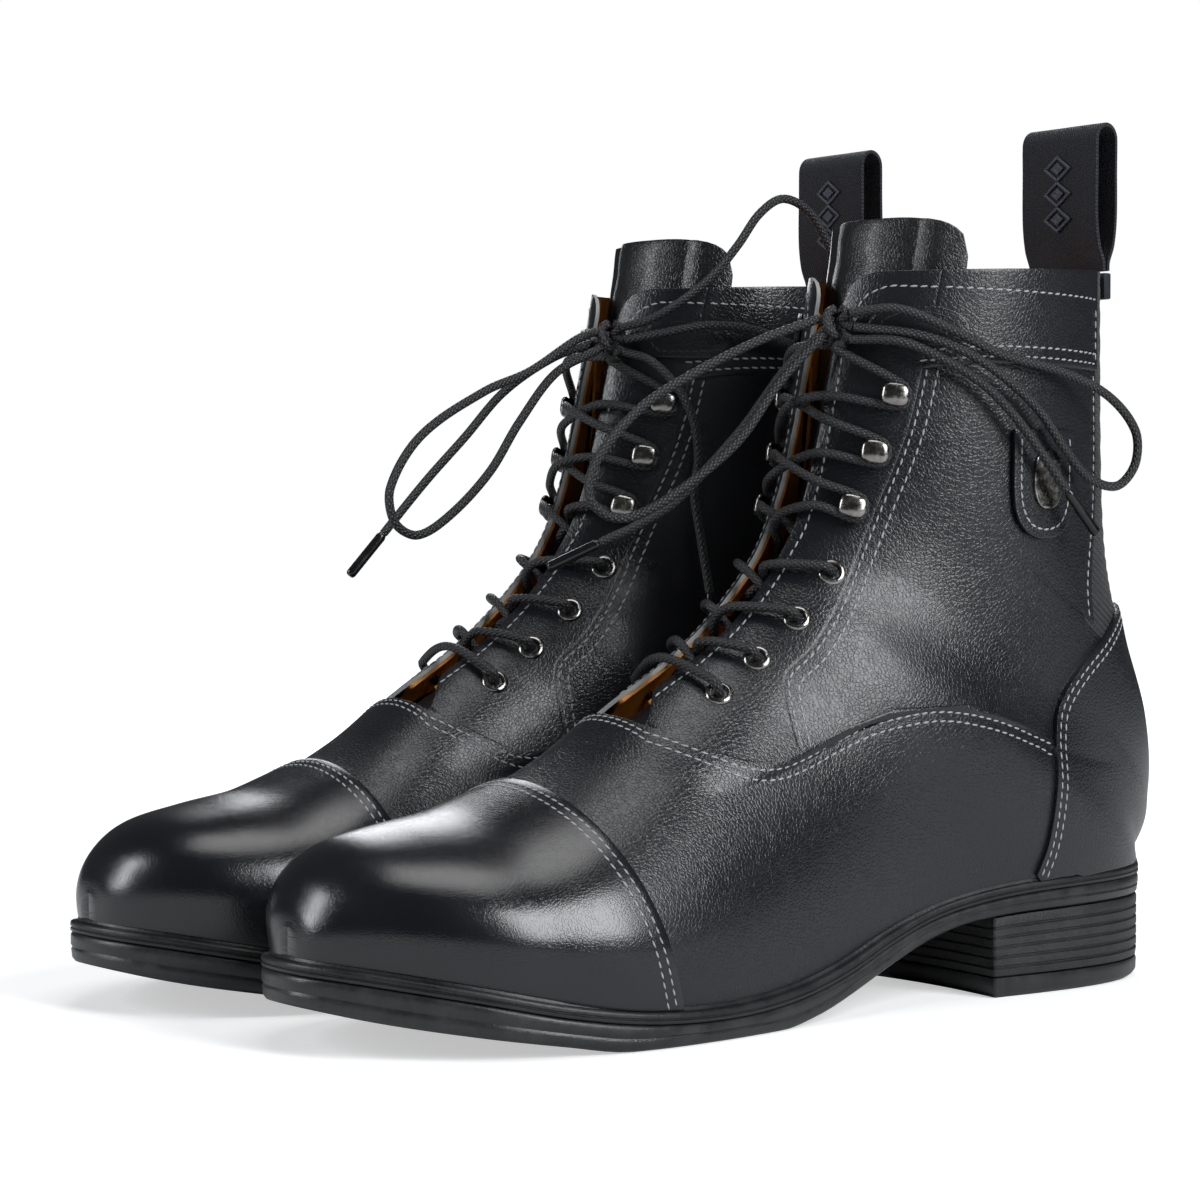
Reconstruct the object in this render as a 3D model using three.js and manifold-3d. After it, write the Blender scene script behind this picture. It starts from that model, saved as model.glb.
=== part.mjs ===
// A pair of ankle-high lace-up riding boots with elastic rear gussets.
// Millimetres, +Z up, toes towards -Y. The left boot stands at +X, the right boot is its mirror image.
import * as THREE from 'three';
import { mergeVertices } from 'three/addons/utils/BufferGeometryUtils.js';
import Module from 'manifold-3d';

const wasm = await Module();
wasm.setup();

// Overall sizes. The last is drawn at its base size below and graded to these.
const footLength = 301; // upper at the welt, heel to toe
const ballWidth = 94.5; // upper at the widest part of the foot
const shaftHeight = 221; // floor to the top line at the back
const bootSpacing = 104; // centre line to centre line
const bootStagger = 9; // the right boot stands this far further forward

// Leather, webbing and lining
const leather = 1.5;
const capThickness = 1.9;
const liningThickness = 1.2;
const liningGap = 2.1;
const seamGap = 0.5;
const lacingGap = 12; // between the two facings
const tongueThickness = 3;
const tongueDepth = 7; // from the face of the leather down to the tongue
const webbingWidth = 34;
const webbingThickness = 1.4;
const webbingHeight = 46;
const webbingGap = 7;
const tabGap = 0.8; // lets the loop swing over the top line

// Bottom unit
const weltThickness = 2.8;
const weltWidth = 4;
const weltTuck = 5;
const heelLip = 2.2;
const liftThickness = 6.2;
const heelLength = 82;
const fit = 0.3; // clearance between touching pieces
const footGap = 0.8; // leather edge over the welt

// Hardware and lace
const laceDiameter = 2.8;
const eyeletBore = 2.4;
const eyeletBarrel = 0.5;
const eyeletFlange = 4.2;
const eyeletRim = 0.7;
const stayThickness = 0.8;
const stayWidth = 15;
const stayInset = 1.5;
const stayDepth = 0.7;
const flangeLift = 0.6; // the flange rests on the crown of the leather
const hookNeck = 1.1;
const hookHead = 4.1;
const hookWasher = 3;
const hookReach = 3.5; // room under the head for the lace
const agletLength = 17;
const agletDiameter = 3.2;

const baseFoot = 301;
const baseBall = 94.5;
const baseShaft = 221;
const grade = new THREE.Vector3(ballWidth / baseBall, footLength / baseFoot, shaftHeight / baseShaft);

// Smooth curve through rows of [at, value, value ...]
function smooth(rows, at) {
  let k = 0;
  while (k < rows.length - 2 && at > rows[k + 1][0]) k += 1;
  const before = rows[Math.max(k - 1, 0)];
  const start = rows[k];
  const end = rows[k + 1];
  const after = rows[Math.min(k + 2, rows.length - 1)];
  const span = end[0] - start[0];
  const t = (at - start[0]) / span;
  return start.slice(1).map((from, i) => {
    const to = end[i + 1];
    const slopeIn = (to - before[i + 1]) / (end[0] - before[0]) * span;
    const slopeOut = (after[i + 1] - from) / (after[0] - start[0]) * span;
    const t2 = t * t;
    const t3 = t2 * t;
    return from * (2 * t3 - 3 * t2 + 1) + slopeIn * (t3 - 2 * t2 + t)
      + to * (3 * t2 - 2 * t3) + slopeOut * (t3 - t2);
  });
}

// Outline of the foot at the welt: share of the length from the heel, then the outer and inner fullness.
// A half width is its fullness times the rounding sqrt(4 t (1 - t)), so both ends come out round.
const heelEnd = 4;
const outlineRows = [
  [0, 62, 62], [0.063, 54.5, 53.5], [0.163, 44.7, 43.4], [0.269, 37.2, 35], [0.379, 35, 28.4],
  [0.512, 40.5, 30], [0.645, 50.2, 40.2], [0.728, 56.2, 50], [0.811, 60, 57.5], [0.894, 63, 64],
  [1, 56, 76],
];

function halfWidths(y) {
  const t = Math.min(Math.max((heelEnd - y) / baseFoot, 0), 1);
  const round = Math.sqrt(4 * t * (1 - t));
  return smooth(outlineRows, t).map((fullness) => fullness * round);
}

// Top of the welt along the foot: [y, z]
const featherRows = [
  [-300, 25.6], [-285, 23], [-265, 19], [-240, 13.5], [-215, 10], [-185, 9], [-160, 11], [-140, 15.5],
  [-120, 22.5], [-100, 28.5], [-77, 32.5], [-50, 34.5], [6, 35.5],
];
// Underside of the sole along the foot: [y, z]
const treadRows = [
  [-302, 14.5], [-285, 10.2], [-265, 6.6], [-240, 2.6], [-222, 0], [-165, 0], [-150, 2.6], [-140, 5.6],
  [-120, 13], [-100, 19.8], [-82, 23.6], [-50, 25.4], [8, 26],
];

const featherHeight = (y) => smooth(featherRows, y)[0];
const leatherFoot = (y) => Math.max(featherHeight(y), featherHeight(y - 2)) + footGap;

function treadHeight(y) {
  if (y >= -222 && y <= -165) return 0;
  return Math.max(smooth(treadRows, y)[0], 0);
}

// Sections of the last, each in the plane through X that joins its front point to its base point:
// [section, front y, front z, base y, base z, swell, height of the widest place, ridge x]
const sectionRows = [
  [0, -296.8, 34, -296.8, 0, 2, 0.45, -1],
  [1, -295.5, 40, -294.5, 0, 4, 0.4, -2],
  [2, -291, 47.5, -289.5, 0, 6, 0.35, -3],
  [3, -281, 54, -279, 0, 8, 0.32, -4],
  [4, -263, 58, -261, 0, 9, 0.3, -5],
  [5, -241, 62, -236, 0, 10, 0.28, -5],
  [6, -220, 69, -211, 0, 11, 0.26, -4],
  [7, -201, 80, -184, 0, 13, 0.27, -3],
  [8, -183, 92.5, -153, 0, 15, 0.32, -2],
  [9, -167, 102.5, -117, 0, 17, 0.38, -1],
  [10, -154, 112.5, -75, 0, 18, 0.44, 0],
  [11, -144, 122, -32, 0, 24, 0.48, 0],
  [12, -136, 132, 4, 35.8, 36, 0.5, 0],
  [13, -129.5, 143.5, 11, 54, 36, 0.5, 0],
  [14, -124.5, 156, 9, 75, 36, 0.5, 0],
  [15, -120, 172, -2, 101, 36.5, 0.5, 0],
  [16, -115.5, 191, -11, 138, 37, 0.5, 0],
  [17, -109, 217.5, -14, 221, 38, 0.5, 0],
  [18, -104.5, 239, -15, 243, 38.5, 0.5, 0],
];
const heelSection = 12;
const topSection = 17;

function section(s) {
  const [frontY, frontZ, backY, backZ, swell, widest, ridge] = smooth(sectionRows, s);
  const onWelt = s < heelSection;
  const baseY = onWelt ? Math.min(backY, heelEnd) : backY;
  const baseZ = onWelt ? leatherFoot(baseY) : backZ;
  const base = onWelt ? halfWidths(baseY) : [0, 0];
  const widths = base.map((half) => Math.hypot(half, swell));
  const turns = base.map((half, i) => Math.PI - Math.asin(half / widths[i]));
  return { frontY, frontZ, baseY, baseZ, widths, turns, widest, ridge };
}

// A point of the last's surface: u runs from 0 at the front ridge to 1 at the welt or the back seam,
// positive on the outer side and negative on the inner side.
function lastPoint(s, u) {
  const at = section(s);
  const side = u < 0 ? 1 : 0;
  const reach = Math.abs(u);
  const angle = reach * at.turns[side];
  const low = Math.cos(at.turns[side]);
  const height = angle < Math.PI / 2
    ? at.widest + (1 - at.widest) * Math.cos(angle)
    : at.widest * (1 - Math.cos(angle) / low);
  const x = at.ridge * (1 + Math.cos(Math.PI * reach)) / 2
    + Math.sign(u) * at.widths[side] * Math.sin(angle);
  return new THREE.Vector3(
    x,
    at.baseY + (at.frontY - at.baseY) * height,
    at.baseZ + (at.frontZ - at.baseZ) * height,
  ).multiply(grade);
}

function lastNormal(s, u) {
  const ds = 0.02;
  const du = 0.004;
  const alongS = lastPoint(Math.min(s + ds, 18), u).sub(lastPoint(Math.max(s - ds, 0), u));
  const alongU = lastPoint(s, Math.min(u + du, 1)).sub(lastPoint(s, Math.max(u - du, -1)));
  return alongU.cross(alongS).normalize();
}

// A point at a height over the last; at the welt the leather's edge stays level
function onLast(s, u, out) {
  const normal = lastNormal(s, u);
  if (Math.abs(u) > 0.999 && s < heelSection + 0.01) normal.setZ(0).normalize();
  return lastPoint(s, u).addScaledVector(normal, out);
}

// Section and reach of the place that a side view of the base size shows at (y, z)
function fromSide(y, z, inner = false) {
  const aside = (s) => {
    const at = section(s);
    return (z - at.baseZ) * (at.frontY - at.baseY) - (y - at.baseY) * (at.frontZ - at.baseZ);
  };
  let low = 1;
  let high = 18;
  for (let i = 0; i < 40; i += 1) {
    const middle = (low + high) / 2;
    if (aside(middle) > 0) high = middle;
    else low = middle;
  }
  const s = (low + high) / 2;
  const at = section(s);
  const side = inner ? 1 : 0;
  const rise = new THREE.Vector2(at.frontY - at.baseY, at.frontZ - at.baseZ);
  const height = new THREE.Vector2(y - at.baseY, z - at.baseZ).dot(rise) / rise.lengthSq();
  const cosine = height > at.widest
    ? (height - at.widest) / (1 - at.widest)
    : (1 - height / at.widest) * Math.cos(at.turns[side]);
  const u = Math.acos(Math.min(Math.max(cosine, -1), 1)) / at.turns[side];
  return { s, u: Math.min(u, 1) };
}

// Seams as they lie on the side of the boot: [y, z] at the base size
const seamOf = (points) => points.map(([y, z]) => fromSide(y, z)).map(({ s, u }) => [s, u]);
const vampSeam = seamOf([
  [-182, 80.5], [-170, 75], [-160, 75], [-150, 77.5], [-141, 80.5], [-122, 87], [-101, 89.5], [-80, 86],
  [-58, 79],
]);
const throatStart = 7.5;
vampSeam.unshift([throatStart, 0]);
const counterSeam = seamOf([
  [-60, 37], [-57.5, 46], [-56, 62], [-55.5, 78], [-53, 88], [-45, 97.5], [-33, 106.5], [-20, 114.5],
]);
const counterTop = 15.5;
counterSeam.push([counterTop, 1]);
const gussetSeam = seamOf([[-33, 106.5], [-36, 124], [-32, 145], [-31, 165], [-32, 195], [-32, 221]]);
const facingSeam = seamOf([
  [-150, 77.5], [-150, 88], [-148, 98], [-138.5, 106], [-127.5, 118], [-120.5, 128], [-111, 148],
  [-103, 169], [-98, 190], [-92, 219],
]);
const reachOn = (seam, s) => smooth(seam, s)[0];
const capSeam = (u) => 5.9 + 0.35 * u * u;

// Reach of the place at a given distance from the centre line
function reachAt(s, x) {
  const at = section(s);
  return Math.asin(x / grade.x / at.widths[0]) / at.turns[0];
}

const seamStep = seamGap / 130;
const vampEnd = vampSeam[vampSeam.length - 1][0];
const facingFoot = facingSeam[0][0];
const counterFoot = counterSeam[0][0];
const gussetFoot = gussetSeam[0][0];

const stayTop = 16.3;

// Every panel is cut on the same sections, so that neighbours share their seam lines
const cuts = [
  throatStart, 8, 8.4, facingFoot, facingFoot + 0.3, 9.8, counterFoot, 11.1, vampEnd - 0.12, 12.7, 13.5,
  gussetFoot, gussetFoot + 0.3, 15, 15.25, 15.4, counterTop, stayTop, topSection,
].sort((a, b) => a - b);
const cutsBetween = (from, to) => [from, ...cuts.filter((s) => s > from + 0.08 && s < to - 0.08), to];

// A sheet of the surface: for each cut, reaches from one seam to the other
function sheetOf(sections, from, to, columns) {
  return sections.map((s) => Array.from({ length: columns + 1 }, (_, j) => {
    const u = from(s) + (to(s) - from(s)) * j / columns;
    return [s, u];
  }));
}
const onSide = (sheet, side) => sheet.map((row) => row.map(([s, u]) => [s, side * u]));
const mirrored = (sheet) => onSide(sheet, -1);

// Thickens sheets of [section, reach] into one closed solid between two heights over the last
function panel(sheets, inside, outside, tip) {
  const corners = [];
  const faces = [];
  const seen = new Map();
  const corner = (s, u) => {
    const place = lastPoint(s, u);
    const key = place.toArray().map((v) => Math.round(v * 200)).join();
    if (!seen.has(key)) {
      seen.set(key, corners.length);
      corners.push([s, u]);
    }
    return seen.get(key);
  };
  for (const sheet of sheets) {
    for (let i = 0; i < sheet.length - 1; i += 1) {
      for (let j = 0; j < sheet[i].length - 1; j += 1) {
        const a = corner(...sheet[i][j]);
        const b = corner(...sheet[i][j + 1]);
        const c = corner(...sheet[i + 1][j + 1]);
        const d = corner(...sheet[i + 1][j]);
        const turned = sheet[i][j + 1][1] < sheet[i][j][1];
        const pair = [[a, b, c], [a, c, d]];
        for (const face of pair) {
          if (new Set(face).size === 3) faces.push(turned ? face.reverse() : face);
        }
      }
    }
  }
  const outer = corners.map(([s, u]) => onLast(s, u, outside));
  const inner = corners.map(([s, u]) => onLast(s, u, inside));
  if (tip) {
    const rim = sheets[0][0].map(([s, u]) => corner(s, u));
    const apex = outer.length;
    outer.push(tip.clone().add(new THREE.Vector3(0, -outside, 0)));
    inner.push(tip.clone().add(new THREE.Vector3(0, -inside, 0)));
    for (let j = 0; j < rim.length - 1; j += 1) faces.push([apex, rim[j + 1], rim[j]]);
    faces.push([apex, rim[0], rim[rim.length - 1]]);
  }
  const count = outer.length;
  const index = [];
  const edges = new Map();
  for (const [a, b, c] of faces) {
    index.push(a, b, c, a + count, c + count, b + count);
    for (const [from, to] of [[a, b], [b, c], [c, a]]) {
      const back = `${to},${from}`;
      if (edges.has(back)) edges.delete(back);
      else edges.set(`${from},${to}`, [from, to]);
    }
  }
  for (const [from, to] of edges.values()) {
    index.push(to, from, from + count, to, from + count, to + count);
  }
  return meshFrom([...outer, ...inner], index);
}

function volumeOf(geometry) {
  const place = geometry.getAttribute('position');
  const index = geometry.getIndex();
  const [a, b, c] = [new THREE.Vector3(), new THREE.Vector3(), new THREE.Vector3()];
  let volume = 0;
  for (let i = 0; i < index.count; i += 3) {
    a.fromBufferAttribute(place, index.getX(i));
    b.fromBufferAttribute(place, index.getX(i + 1));
    c.fromBufferAttribute(place, index.getX(i + 2));
    volume += a.dot(b.cross(c)) / 6;
  }
  return volume;
}

// Turns the faces outwards where a shape came out inside out
function facingOut(geometry) {
  if (volumeOf(geometry) > 0) return geometry;
  const index = geometry.getIndex();
  for (let i = 0; i < index.count; i += 3) {
    const second = index.getX(i + 1);
    index.setX(i + 1, index.getX(i + 2));
    index.setX(i + 2, second);
  }
  return geometry;
}

function meshFrom(points, index) {
  const geometry = new THREE.BufferGeometry();
  geometry.setAttribute('position', new THREE.Float32BufferAttribute(points.flatMap((p) => p.toArray()), 3));
  geometry.setIndex(index);
  return facingOut(geometry);
}

function merged(geometry) {
  const bare = geometry.clone();
  bare.deleteAttribute('normal');
  bare.deleteAttribute('uv');
  return mergeVertices(bare, 1e-4);
}

function solidOf(geometry) {
  const closed = facingOut(merged(geometry));
  return new wasm.Manifold(new wasm.Mesh({
    numProp: 3,
    vertProperties: Float32Array.from(closed.getAttribute('position').array),
    triVerts: Uint32Array.from(closed.getIndex().array),
  }));
}

function geometryOf(solid) {
  const mesh = solid.getMesh();
  const geometry = new THREE.BufferGeometry();
  geometry.setAttribute('position', new THREE.BufferAttribute(mesh.vertProperties, 3));
  geometry.setIndex(new THREE.BufferAttribute(mesh.triVerts, 1));
  return geometry;
}

// Upper leathers

const columns = 6;

function toeCap() {
  const rows = [0, 0.35, 0.8, 1.4, 2.1, 3, 4, 5];
  const across = columns * 2;
  const reaches = Array.from({ length: across + 1 }, (_, j) => j * 2 / across - 1);
  const sheet = rows.map((s) => reaches.map((u) => [s, u]));
  sheet.push(reaches.map((u) => [capSeam(u) - 0.02, u]));
  return panel([sheet], 0, capThickness, lastPoint(0, 0).setX(0).add(new THREE.Vector3(0, -0.4, -5)));
}

function vamp() {
  const across = columns * 2;
  const reaches = Array.from({ length: across + 1 }, (_, j) => j * 2 / across - 1);
  const front = [0, 0.33, 0.67, 1].map((share) => reaches.map((u) => {
    const start = capSeam(u) + 0.02;
    return [start + (throatStart - 0.02 - start) * share, u];
  }));
  const stop = vampEnd - 0.12;
  const edge = (s) => (s === throatStart ? 0 : reachOn(vampSeam, s) + seamStep);
  const back = (s) => (s > counterFoot - 0.01 ? reachOn(counterSeam, s) - seamStep : 1);
  const wing = sheetOf(cutsBetween(throatStart, stop), edge, back, columns);
  wing[0] = front[3].slice(columns);
  return panel([front, wing, mirrored(wing)], 0, leather);
}

const facingEdge = (s) => reachAt(s, lacingGap / 2);

function facing(side) {
  const edge = (s) => facingEdge(s);
  const seam = (s) => (s > facingFoot ? reachOn(facingSeam, s) : reachOn(vampSeam, s)) - seamStep;
  return panel([onSide(sheetOf(cutsBetween(8, topSection), edge, seam, 4), side)], 0, leather);
}

function quarter(side) {
  const front = (s) => reachOn(facingSeam, s) + seamStep;
  const back = (s) => {
    if (s < vampEnd - 0.1) return reachOn(vampSeam, s) - seamStep;
    if (s < gussetFoot) return reachOn(counterSeam, s) - seamStep;
    return reachOn(gussetSeam, s) - seamStep;
  };
  const sheet = sheetOf(cutsBetween(facingFoot + 0.3, topSection), front, back, columns);
  return panel([onSide(sheet, side)], 0, leather);
}

function counter() {
  const edge = (s) => Math.min(reachOn(counterSeam, s), 1) + seamStep;
  const outer = sheetOf(cutsBetween(counterFoot, counterTop - 0.12), edge, () => 1, columns);
  return panel([outer, mirrored(outer)], 0, capThickness);
}

function gusset() {
  const edge = (s) => reachOn(gussetSeam, s) + seamStep;
  const floor = (s) => (s < counterTop ? Math.min(reachOn(counterSeam, s) - 2 * seamStep, 1) : 1);
  const outer = sheetOf(cutsBetween(gussetFoot + 0.3, topSection), edge, floor, 5);
  return panel([outer, mirrored(outer)], 0, leather);
}

function lining() {
  const edge = (s) => reachAt(s, lacingGap / 2 + stayInset + stayWidth + 1);
  const side = sheetOf(cutsBetween(facingFoot, topSection), edge, () => 1, columns);
  return panel([side, mirrored(side)], -liningGap - liningThickness, -liningGap);
}

function tongue() {
  const edge = (s) => 0.13 + 0.022 * (s - 7.6);
  const rows = [7.7, 8.4, 9.2, 10, 11, 12, 13, 14, 15, 16, 17];
  const across = 6;
  const sheet = rows.map((s) => Array.from({ length: across + 1 }, (_, j) => {
    return [s, edge(s) * (2 * j / across - 1)];
  }));
  const rise = 0.85;
  sheet.push(Array.from({ length: across + 1 }, (_, j) => {
    const share = 2 * j / across - 1;
    return [topSection + 0.15 + (rise - 0.15) * (1 - share * share), edge(topSection) * share];
  }));
  return panel([sheet], -tongueDepth - tongueThickness, -tongueDepth);
}

// A flat patch laid on the outer side: rows of [height share, left, right] in the side view
function patch(rows, inner, outer, side = 1) {
  const across = 4;
  const sheet = rows.map(([z, back, front]) => Array.from({ length: across + 1 }, (_, j) => {
    const { s, u } = fromSide(back + (front - back) * j / across, z, side < 0);
    return [s, side * u];
  }));
  return panel([sheet], inner, outer);
}

const patchLift = 0.6;
const patchThickness = 1.2;
const badgeRows = [
  [171, -48, -72], [160, -48, -72], [150, -48.3, -71.7], [143, -51, -69], [139, -55.5, -64.5],
];
const plateRows = [
  [164, -56.5, -63.5], [160, -54.5, -65.5], [153, -54.3, -65.7], [147, -56, -64],
];
const keeperRows = [
  [206.5, -93, -103], [203, -87, -107], [199, -86, -109], [195.5, -91, -107],
];

// Bottom unit, all on the outline of the foot

// Points round the foot at a distance outside the upper, heel to toe on the outer side and back
function outlineAround(marginAt, count) {
  const points = [];
  for (let k = 0; k < count; k += 1) {
    const angle = 2 * Math.PI * (k + 0.5) / count;
    const t = (1 - Math.cos(angle)) / 2;
    const y = heelEnd - baseFoot * t;
    const widths = halfWidths(y);
    const x = angle < Math.PI ? widths[0] : -widths[1];
    points.push(new THREE.Vector2(x * grade.x, y * grade.y));
  }
  return points.map((point, k) => {
    const next = points[(k + 1) % count];
    const last = points[(k + count - 1) % count];
    const along = next.clone().sub(last).normalize();
    const normal = new THREE.Vector2(along.y, -along.x).multiplyScalar(-1);
    return point.clone().addScaledVector(normal, -marginAt(point.y / grade.y));
  });
}

const weltFlare = (y) => heelLip - (y + heelLength + 10) / 20;
const weltMargin = (y) => (y > -heelLength - 10 ? heelLip : Math.min(weltWidth, weltFlare(y)));

function welt() {
  const count = 48;
  const outer = outlineAround(weltMargin, count);
  const inner = outlineAround(() => -weltTuck, count);
  const points = [];
  const index = [];
  const place = (p, drop) => new THREE.Vector3(p.x, p.y, (featherHeight(p.y / grade.y) - drop) * grade.z);
  for (let k = 0; k < count; k += 1) {
    points.push(place(outer[k], 0), place(inner[k], 0));
    points.push(place(inner[k], weltThickness), place(outer[k], weltThickness));
    for (let side = 0; side < 4; side += 1) {
      const a = k * 4 + side;
      const b = k * 4 + (side + 1) % 4;
      const c = ((k + 1) % count) * 4 + (side + 1) % 4;
      const d = ((k + 1) % count) * 4 + side;
      index.push(a, b, c, a, c, d);
    }
  }
  return meshFrom(points, index);
}

// A slab across the foot between two heights, cut at each of the given places along it
function slab(places, widthsAt, bottomAt, topAt) {
  const points = [];
  const index = [];
  places.forEach((y) => {
    const [outer, inner] = widthsAt(y);
    const top = topAt(y) * grade.z;
    const bottom = bottomAt(y) * grade.z;
    points.push(new THREE.Vector3(outer, y * grade.y, top), new THREE.Vector3(-inner, y * grade.y, top));
    points.push(new THREE.Vector3(-inner, y * grade.y, bottom), new THREE.Vector3(outer, y * grade.y, bottom));
  });
  const last = (places.length - 1) * 4;
  for (let k = 0; k < places.length - 1; k += 1) {
    for (let side = 0; side < 4; side += 1) {
      const a = k * 4 + side;
      const b = k * 4 + (side + 1) % 4;
      index.push(a, b, b + 4, a, b + 4, a + 4);
    }
  }
  index.push(0, 2, 1, 0, 3, 2, last, last + 1, last + 2, last, last + 2, last + 3);
  return meshFrom(points, index);
}

// Half widths of the bottom at a margin outside the upper; the ends stay round
function marginWidths(y, margin) {
  const reach = baseFoot + 2 * margin;
  const t = Math.min(Math.max((heelEnd + margin - y) / reach, 0.0004), 0.9996);
  const round = Math.sqrt(4 * t * (1 - t));
  return smooth(outlineRows, t).map((fullness) => (fullness + margin) * round * grade.x);
}

function roundedPlaces(from, to, count) {
  return Array.from({ length: count + 1 }, (_, k) => from + (to - from) * (1 - Math.cos(Math.PI * k / count)) / 2);
}

const toeEnd = heelEnd - baseFoot;

function outsole() {
  const places = roundedPlaces(heelEnd + heelLip, toeEnd - weltWidth, 30);
  return slab(
    places,
    (y) => marginWidths(y, weltMargin(y) - 0.2),
    treadHeight,
    (y) => featherHeight(y) - weltThickness - fit,
  );
}

function insole() {
  const places = roundedPlaces(heelEnd - weltTuck - 0.8, toeEnd + weltTuck + 0.8, 26);
  return slab(places, (y) => marginWidths(y, -weltTuck - 1), (y) => featherHeight(y) - weltThickness, featherHeight);
}

function heelPlaces() {
  const back = heelEnd + heelLip;
  return Array.from({ length: 13 }, (_, k) => back - heelLength * (1 - Math.cos(Math.PI / 2 * k / 12)));
}

function heelStack() {
  const widths = (y) => marginWidths(y, heelLip - 0.4);
  return slab(heelPlaces(), widths, () => liftThickness + fit, (y) => treadHeight(y) - fit);
}

function topLift() {
  return slab(heelPlaces(), (y) => marginWidths(y, heelLip - 0.6), () => 0, () => liftThickness);
}

// Pull loop of webbing, standing on the back of the top line
function pullTab() {
  const half = webbingGap / 2;
  const outside = half + webbingThickness;
  const slit = fit / 2;
  const legs = webbingHeight - outside;
  const flare = 12; // the two ends are sewn together and open into the loop over this height
  const shape = new THREE.Shape();
  shape.moveTo(-slit - webbingThickness, 0);
  shape.lineTo(-slit, 0);
  shape.lineTo(-half, flare);
  shape.lineTo(-half, legs);
  shape.absarc(0, legs, half, Math.PI, 0, true);
  shape.lineTo(half, flare);
  shape.lineTo(slit, 0);
  shape.lineTo(slit + webbingThickness, 0);
  shape.lineTo(outside, flare);
  shape.lineTo(outside, legs);
  shape.absarc(0, legs, outside, 0, Math.PI, false);
  shape.lineTo(-outside, flare);
  const geometry = new THREE.ExtrudeGeometry(shape, {
    depth: webbingWidth, bevelEnabled: false, curveSegments: 8,
  });
  geometry.translate(0, 0, -webbingWidth / 2);
  geometry.rotateX(Math.PI / 2);
  geometry.rotateZ(Math.PI / 2);
  const seat = lastPoint(topSection, 1);
  geometry.translate(0, seat.y, seat.z + tabGap);
  return merged(geometry);
}

// Eyelets and speed hooks
const eyeletPlaces = [[-167.3, 93.3], [-153, 103.2], [-139, 114.6], [-125.5, 128]].map(([y, z]) => fromSide(y, z));
const hookPlaces = [[-117, 147], [-110.5, 163.5], [-105, 180.5]].map(([y, z]) => fromSide(y, z));

const placesOn = (places, side) => places.map(({ s, u }) => ({ s, u: side * u }));

function turnedTo(geometry, { s, u }) {
  const normal = lastNormal(s, u);
  geometry.applyQuaternion(new THREE.Quaternion().setFromUnitVectors(new THREE.Vector3(0, 1, 0), normal));
  const seat = lastPoint(s, u);
  return geometry.translate(seat.x, seat.y, seat.z);
}

const lathe = (pairs, sides) => new THREE.LatheGeometry(pairs.map(([r, h]) => new THREE.Vector2(r, h)), sides);

function eyelet(place) {
  const seat = leather + flangeLift;
  const bottom = -stayDepth - stayThickness;
  return turnedTo(lathe([
    [eyeletBore, bottom], [eyeletBore + eyeletBarrel, bottom], [eyeletBore + eyeletBarrel, seat],
    [eyeletFlange, seat], [eyeletFlange - 0.4, seat + eyeletRim], [eyeletBore, seat + eyeletRim],
    [eyeletBore, bottom],
  ], 8), place);
}

function hook(place) {
  const bottom = -stayDepth - stayThickness;
  const seat = leather + flangeLift;
  const washer = seat + 0.4;
  const under = washer + hookReach;
  return turnedTo(lathe([
    [0, bottom], [hookNeck, bottom], [hookNeck, seat], [hookWasher, seat],
    [hookWasher - 0.2, washer], [hookNeck, washer], [hookNeck, under], [hookHead, under + 0.5],
    [hookHead * 0.6, under + 2.4], [0, under + 2.6],
  ], 6), place);
}

const boreTool = (place, radius, sides = 8) => turnedTo(new THREE.CylinderGeometry(radius, radius, 12, sides), place);

function fastenerRow(side) {
  const edge = (s) => reachAt(s, lacingGap / 2 + stayInset);
  const seam = (s) => reachAt(s, lacingGap / 2 + stayInset + stayWidth);
  const top = -stayDepth;
  const sections = cutsBetween(8.4, stayTop);
  let row = solidOf(panel([onSide(sheetOf(sections, edge, seam, 2), side)], top - stayThickness, top));
  placesOn(eyeletPlaces, side).forEach((place) => {
    row = row.subtract(solidOf(boreTool(place, eyeletBore + 0.05))).add(solidOf(eyelet(place)));
  });
  placesOn(hookPlaces, side).forEach((place) => {
    row = row.add(solidOf(hook(place)));
  });
  return geometryOf(row);
}

function piercedFacing(side) {
  let leatherPiece = solidOf(facing(side));
  placesOn(eyeletPlaces, side).forEach((place) => {
    leatherPiece = leatherPiece.subtract(solidOf(boreTool(place, (eyeletBore + eyeletBarrel + fit) * 1.08)));
  });
  placesOn(hookPlaces, side).forEach((place) => {
    leatherPiece = leatherPiece.subtract(solidOf(boreTool(place, (hookNeck + fit) * 1.16, 6)));
  });
  return geometryOf(leatherPiece);
}

// Lace. One length runs through both rows of fasteners: across the two lowest eyelets, out of sight from
// each eyelet to the gap, over the other facing and down into the next eyelet, then round the hooks.
const laceRadius = laceDiameter / 2;
const laceSides = 8;
const outsideRun = leather + flangeLift + eyeletRim + laceRadius + 0.7; // over the eyelets' flanges
const facingRun = leather + laceRadius + 0.6;
const insideRun = -stayDepth - stayThickness - laceRadius - 1.3;
const crossing = laceRadius + 0.3; // half the spacing of two stretches that cross
const neckRun = leather + flangeLift + 0.4 + hookReach / 2;
const hookTurn = 3.9;

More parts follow.
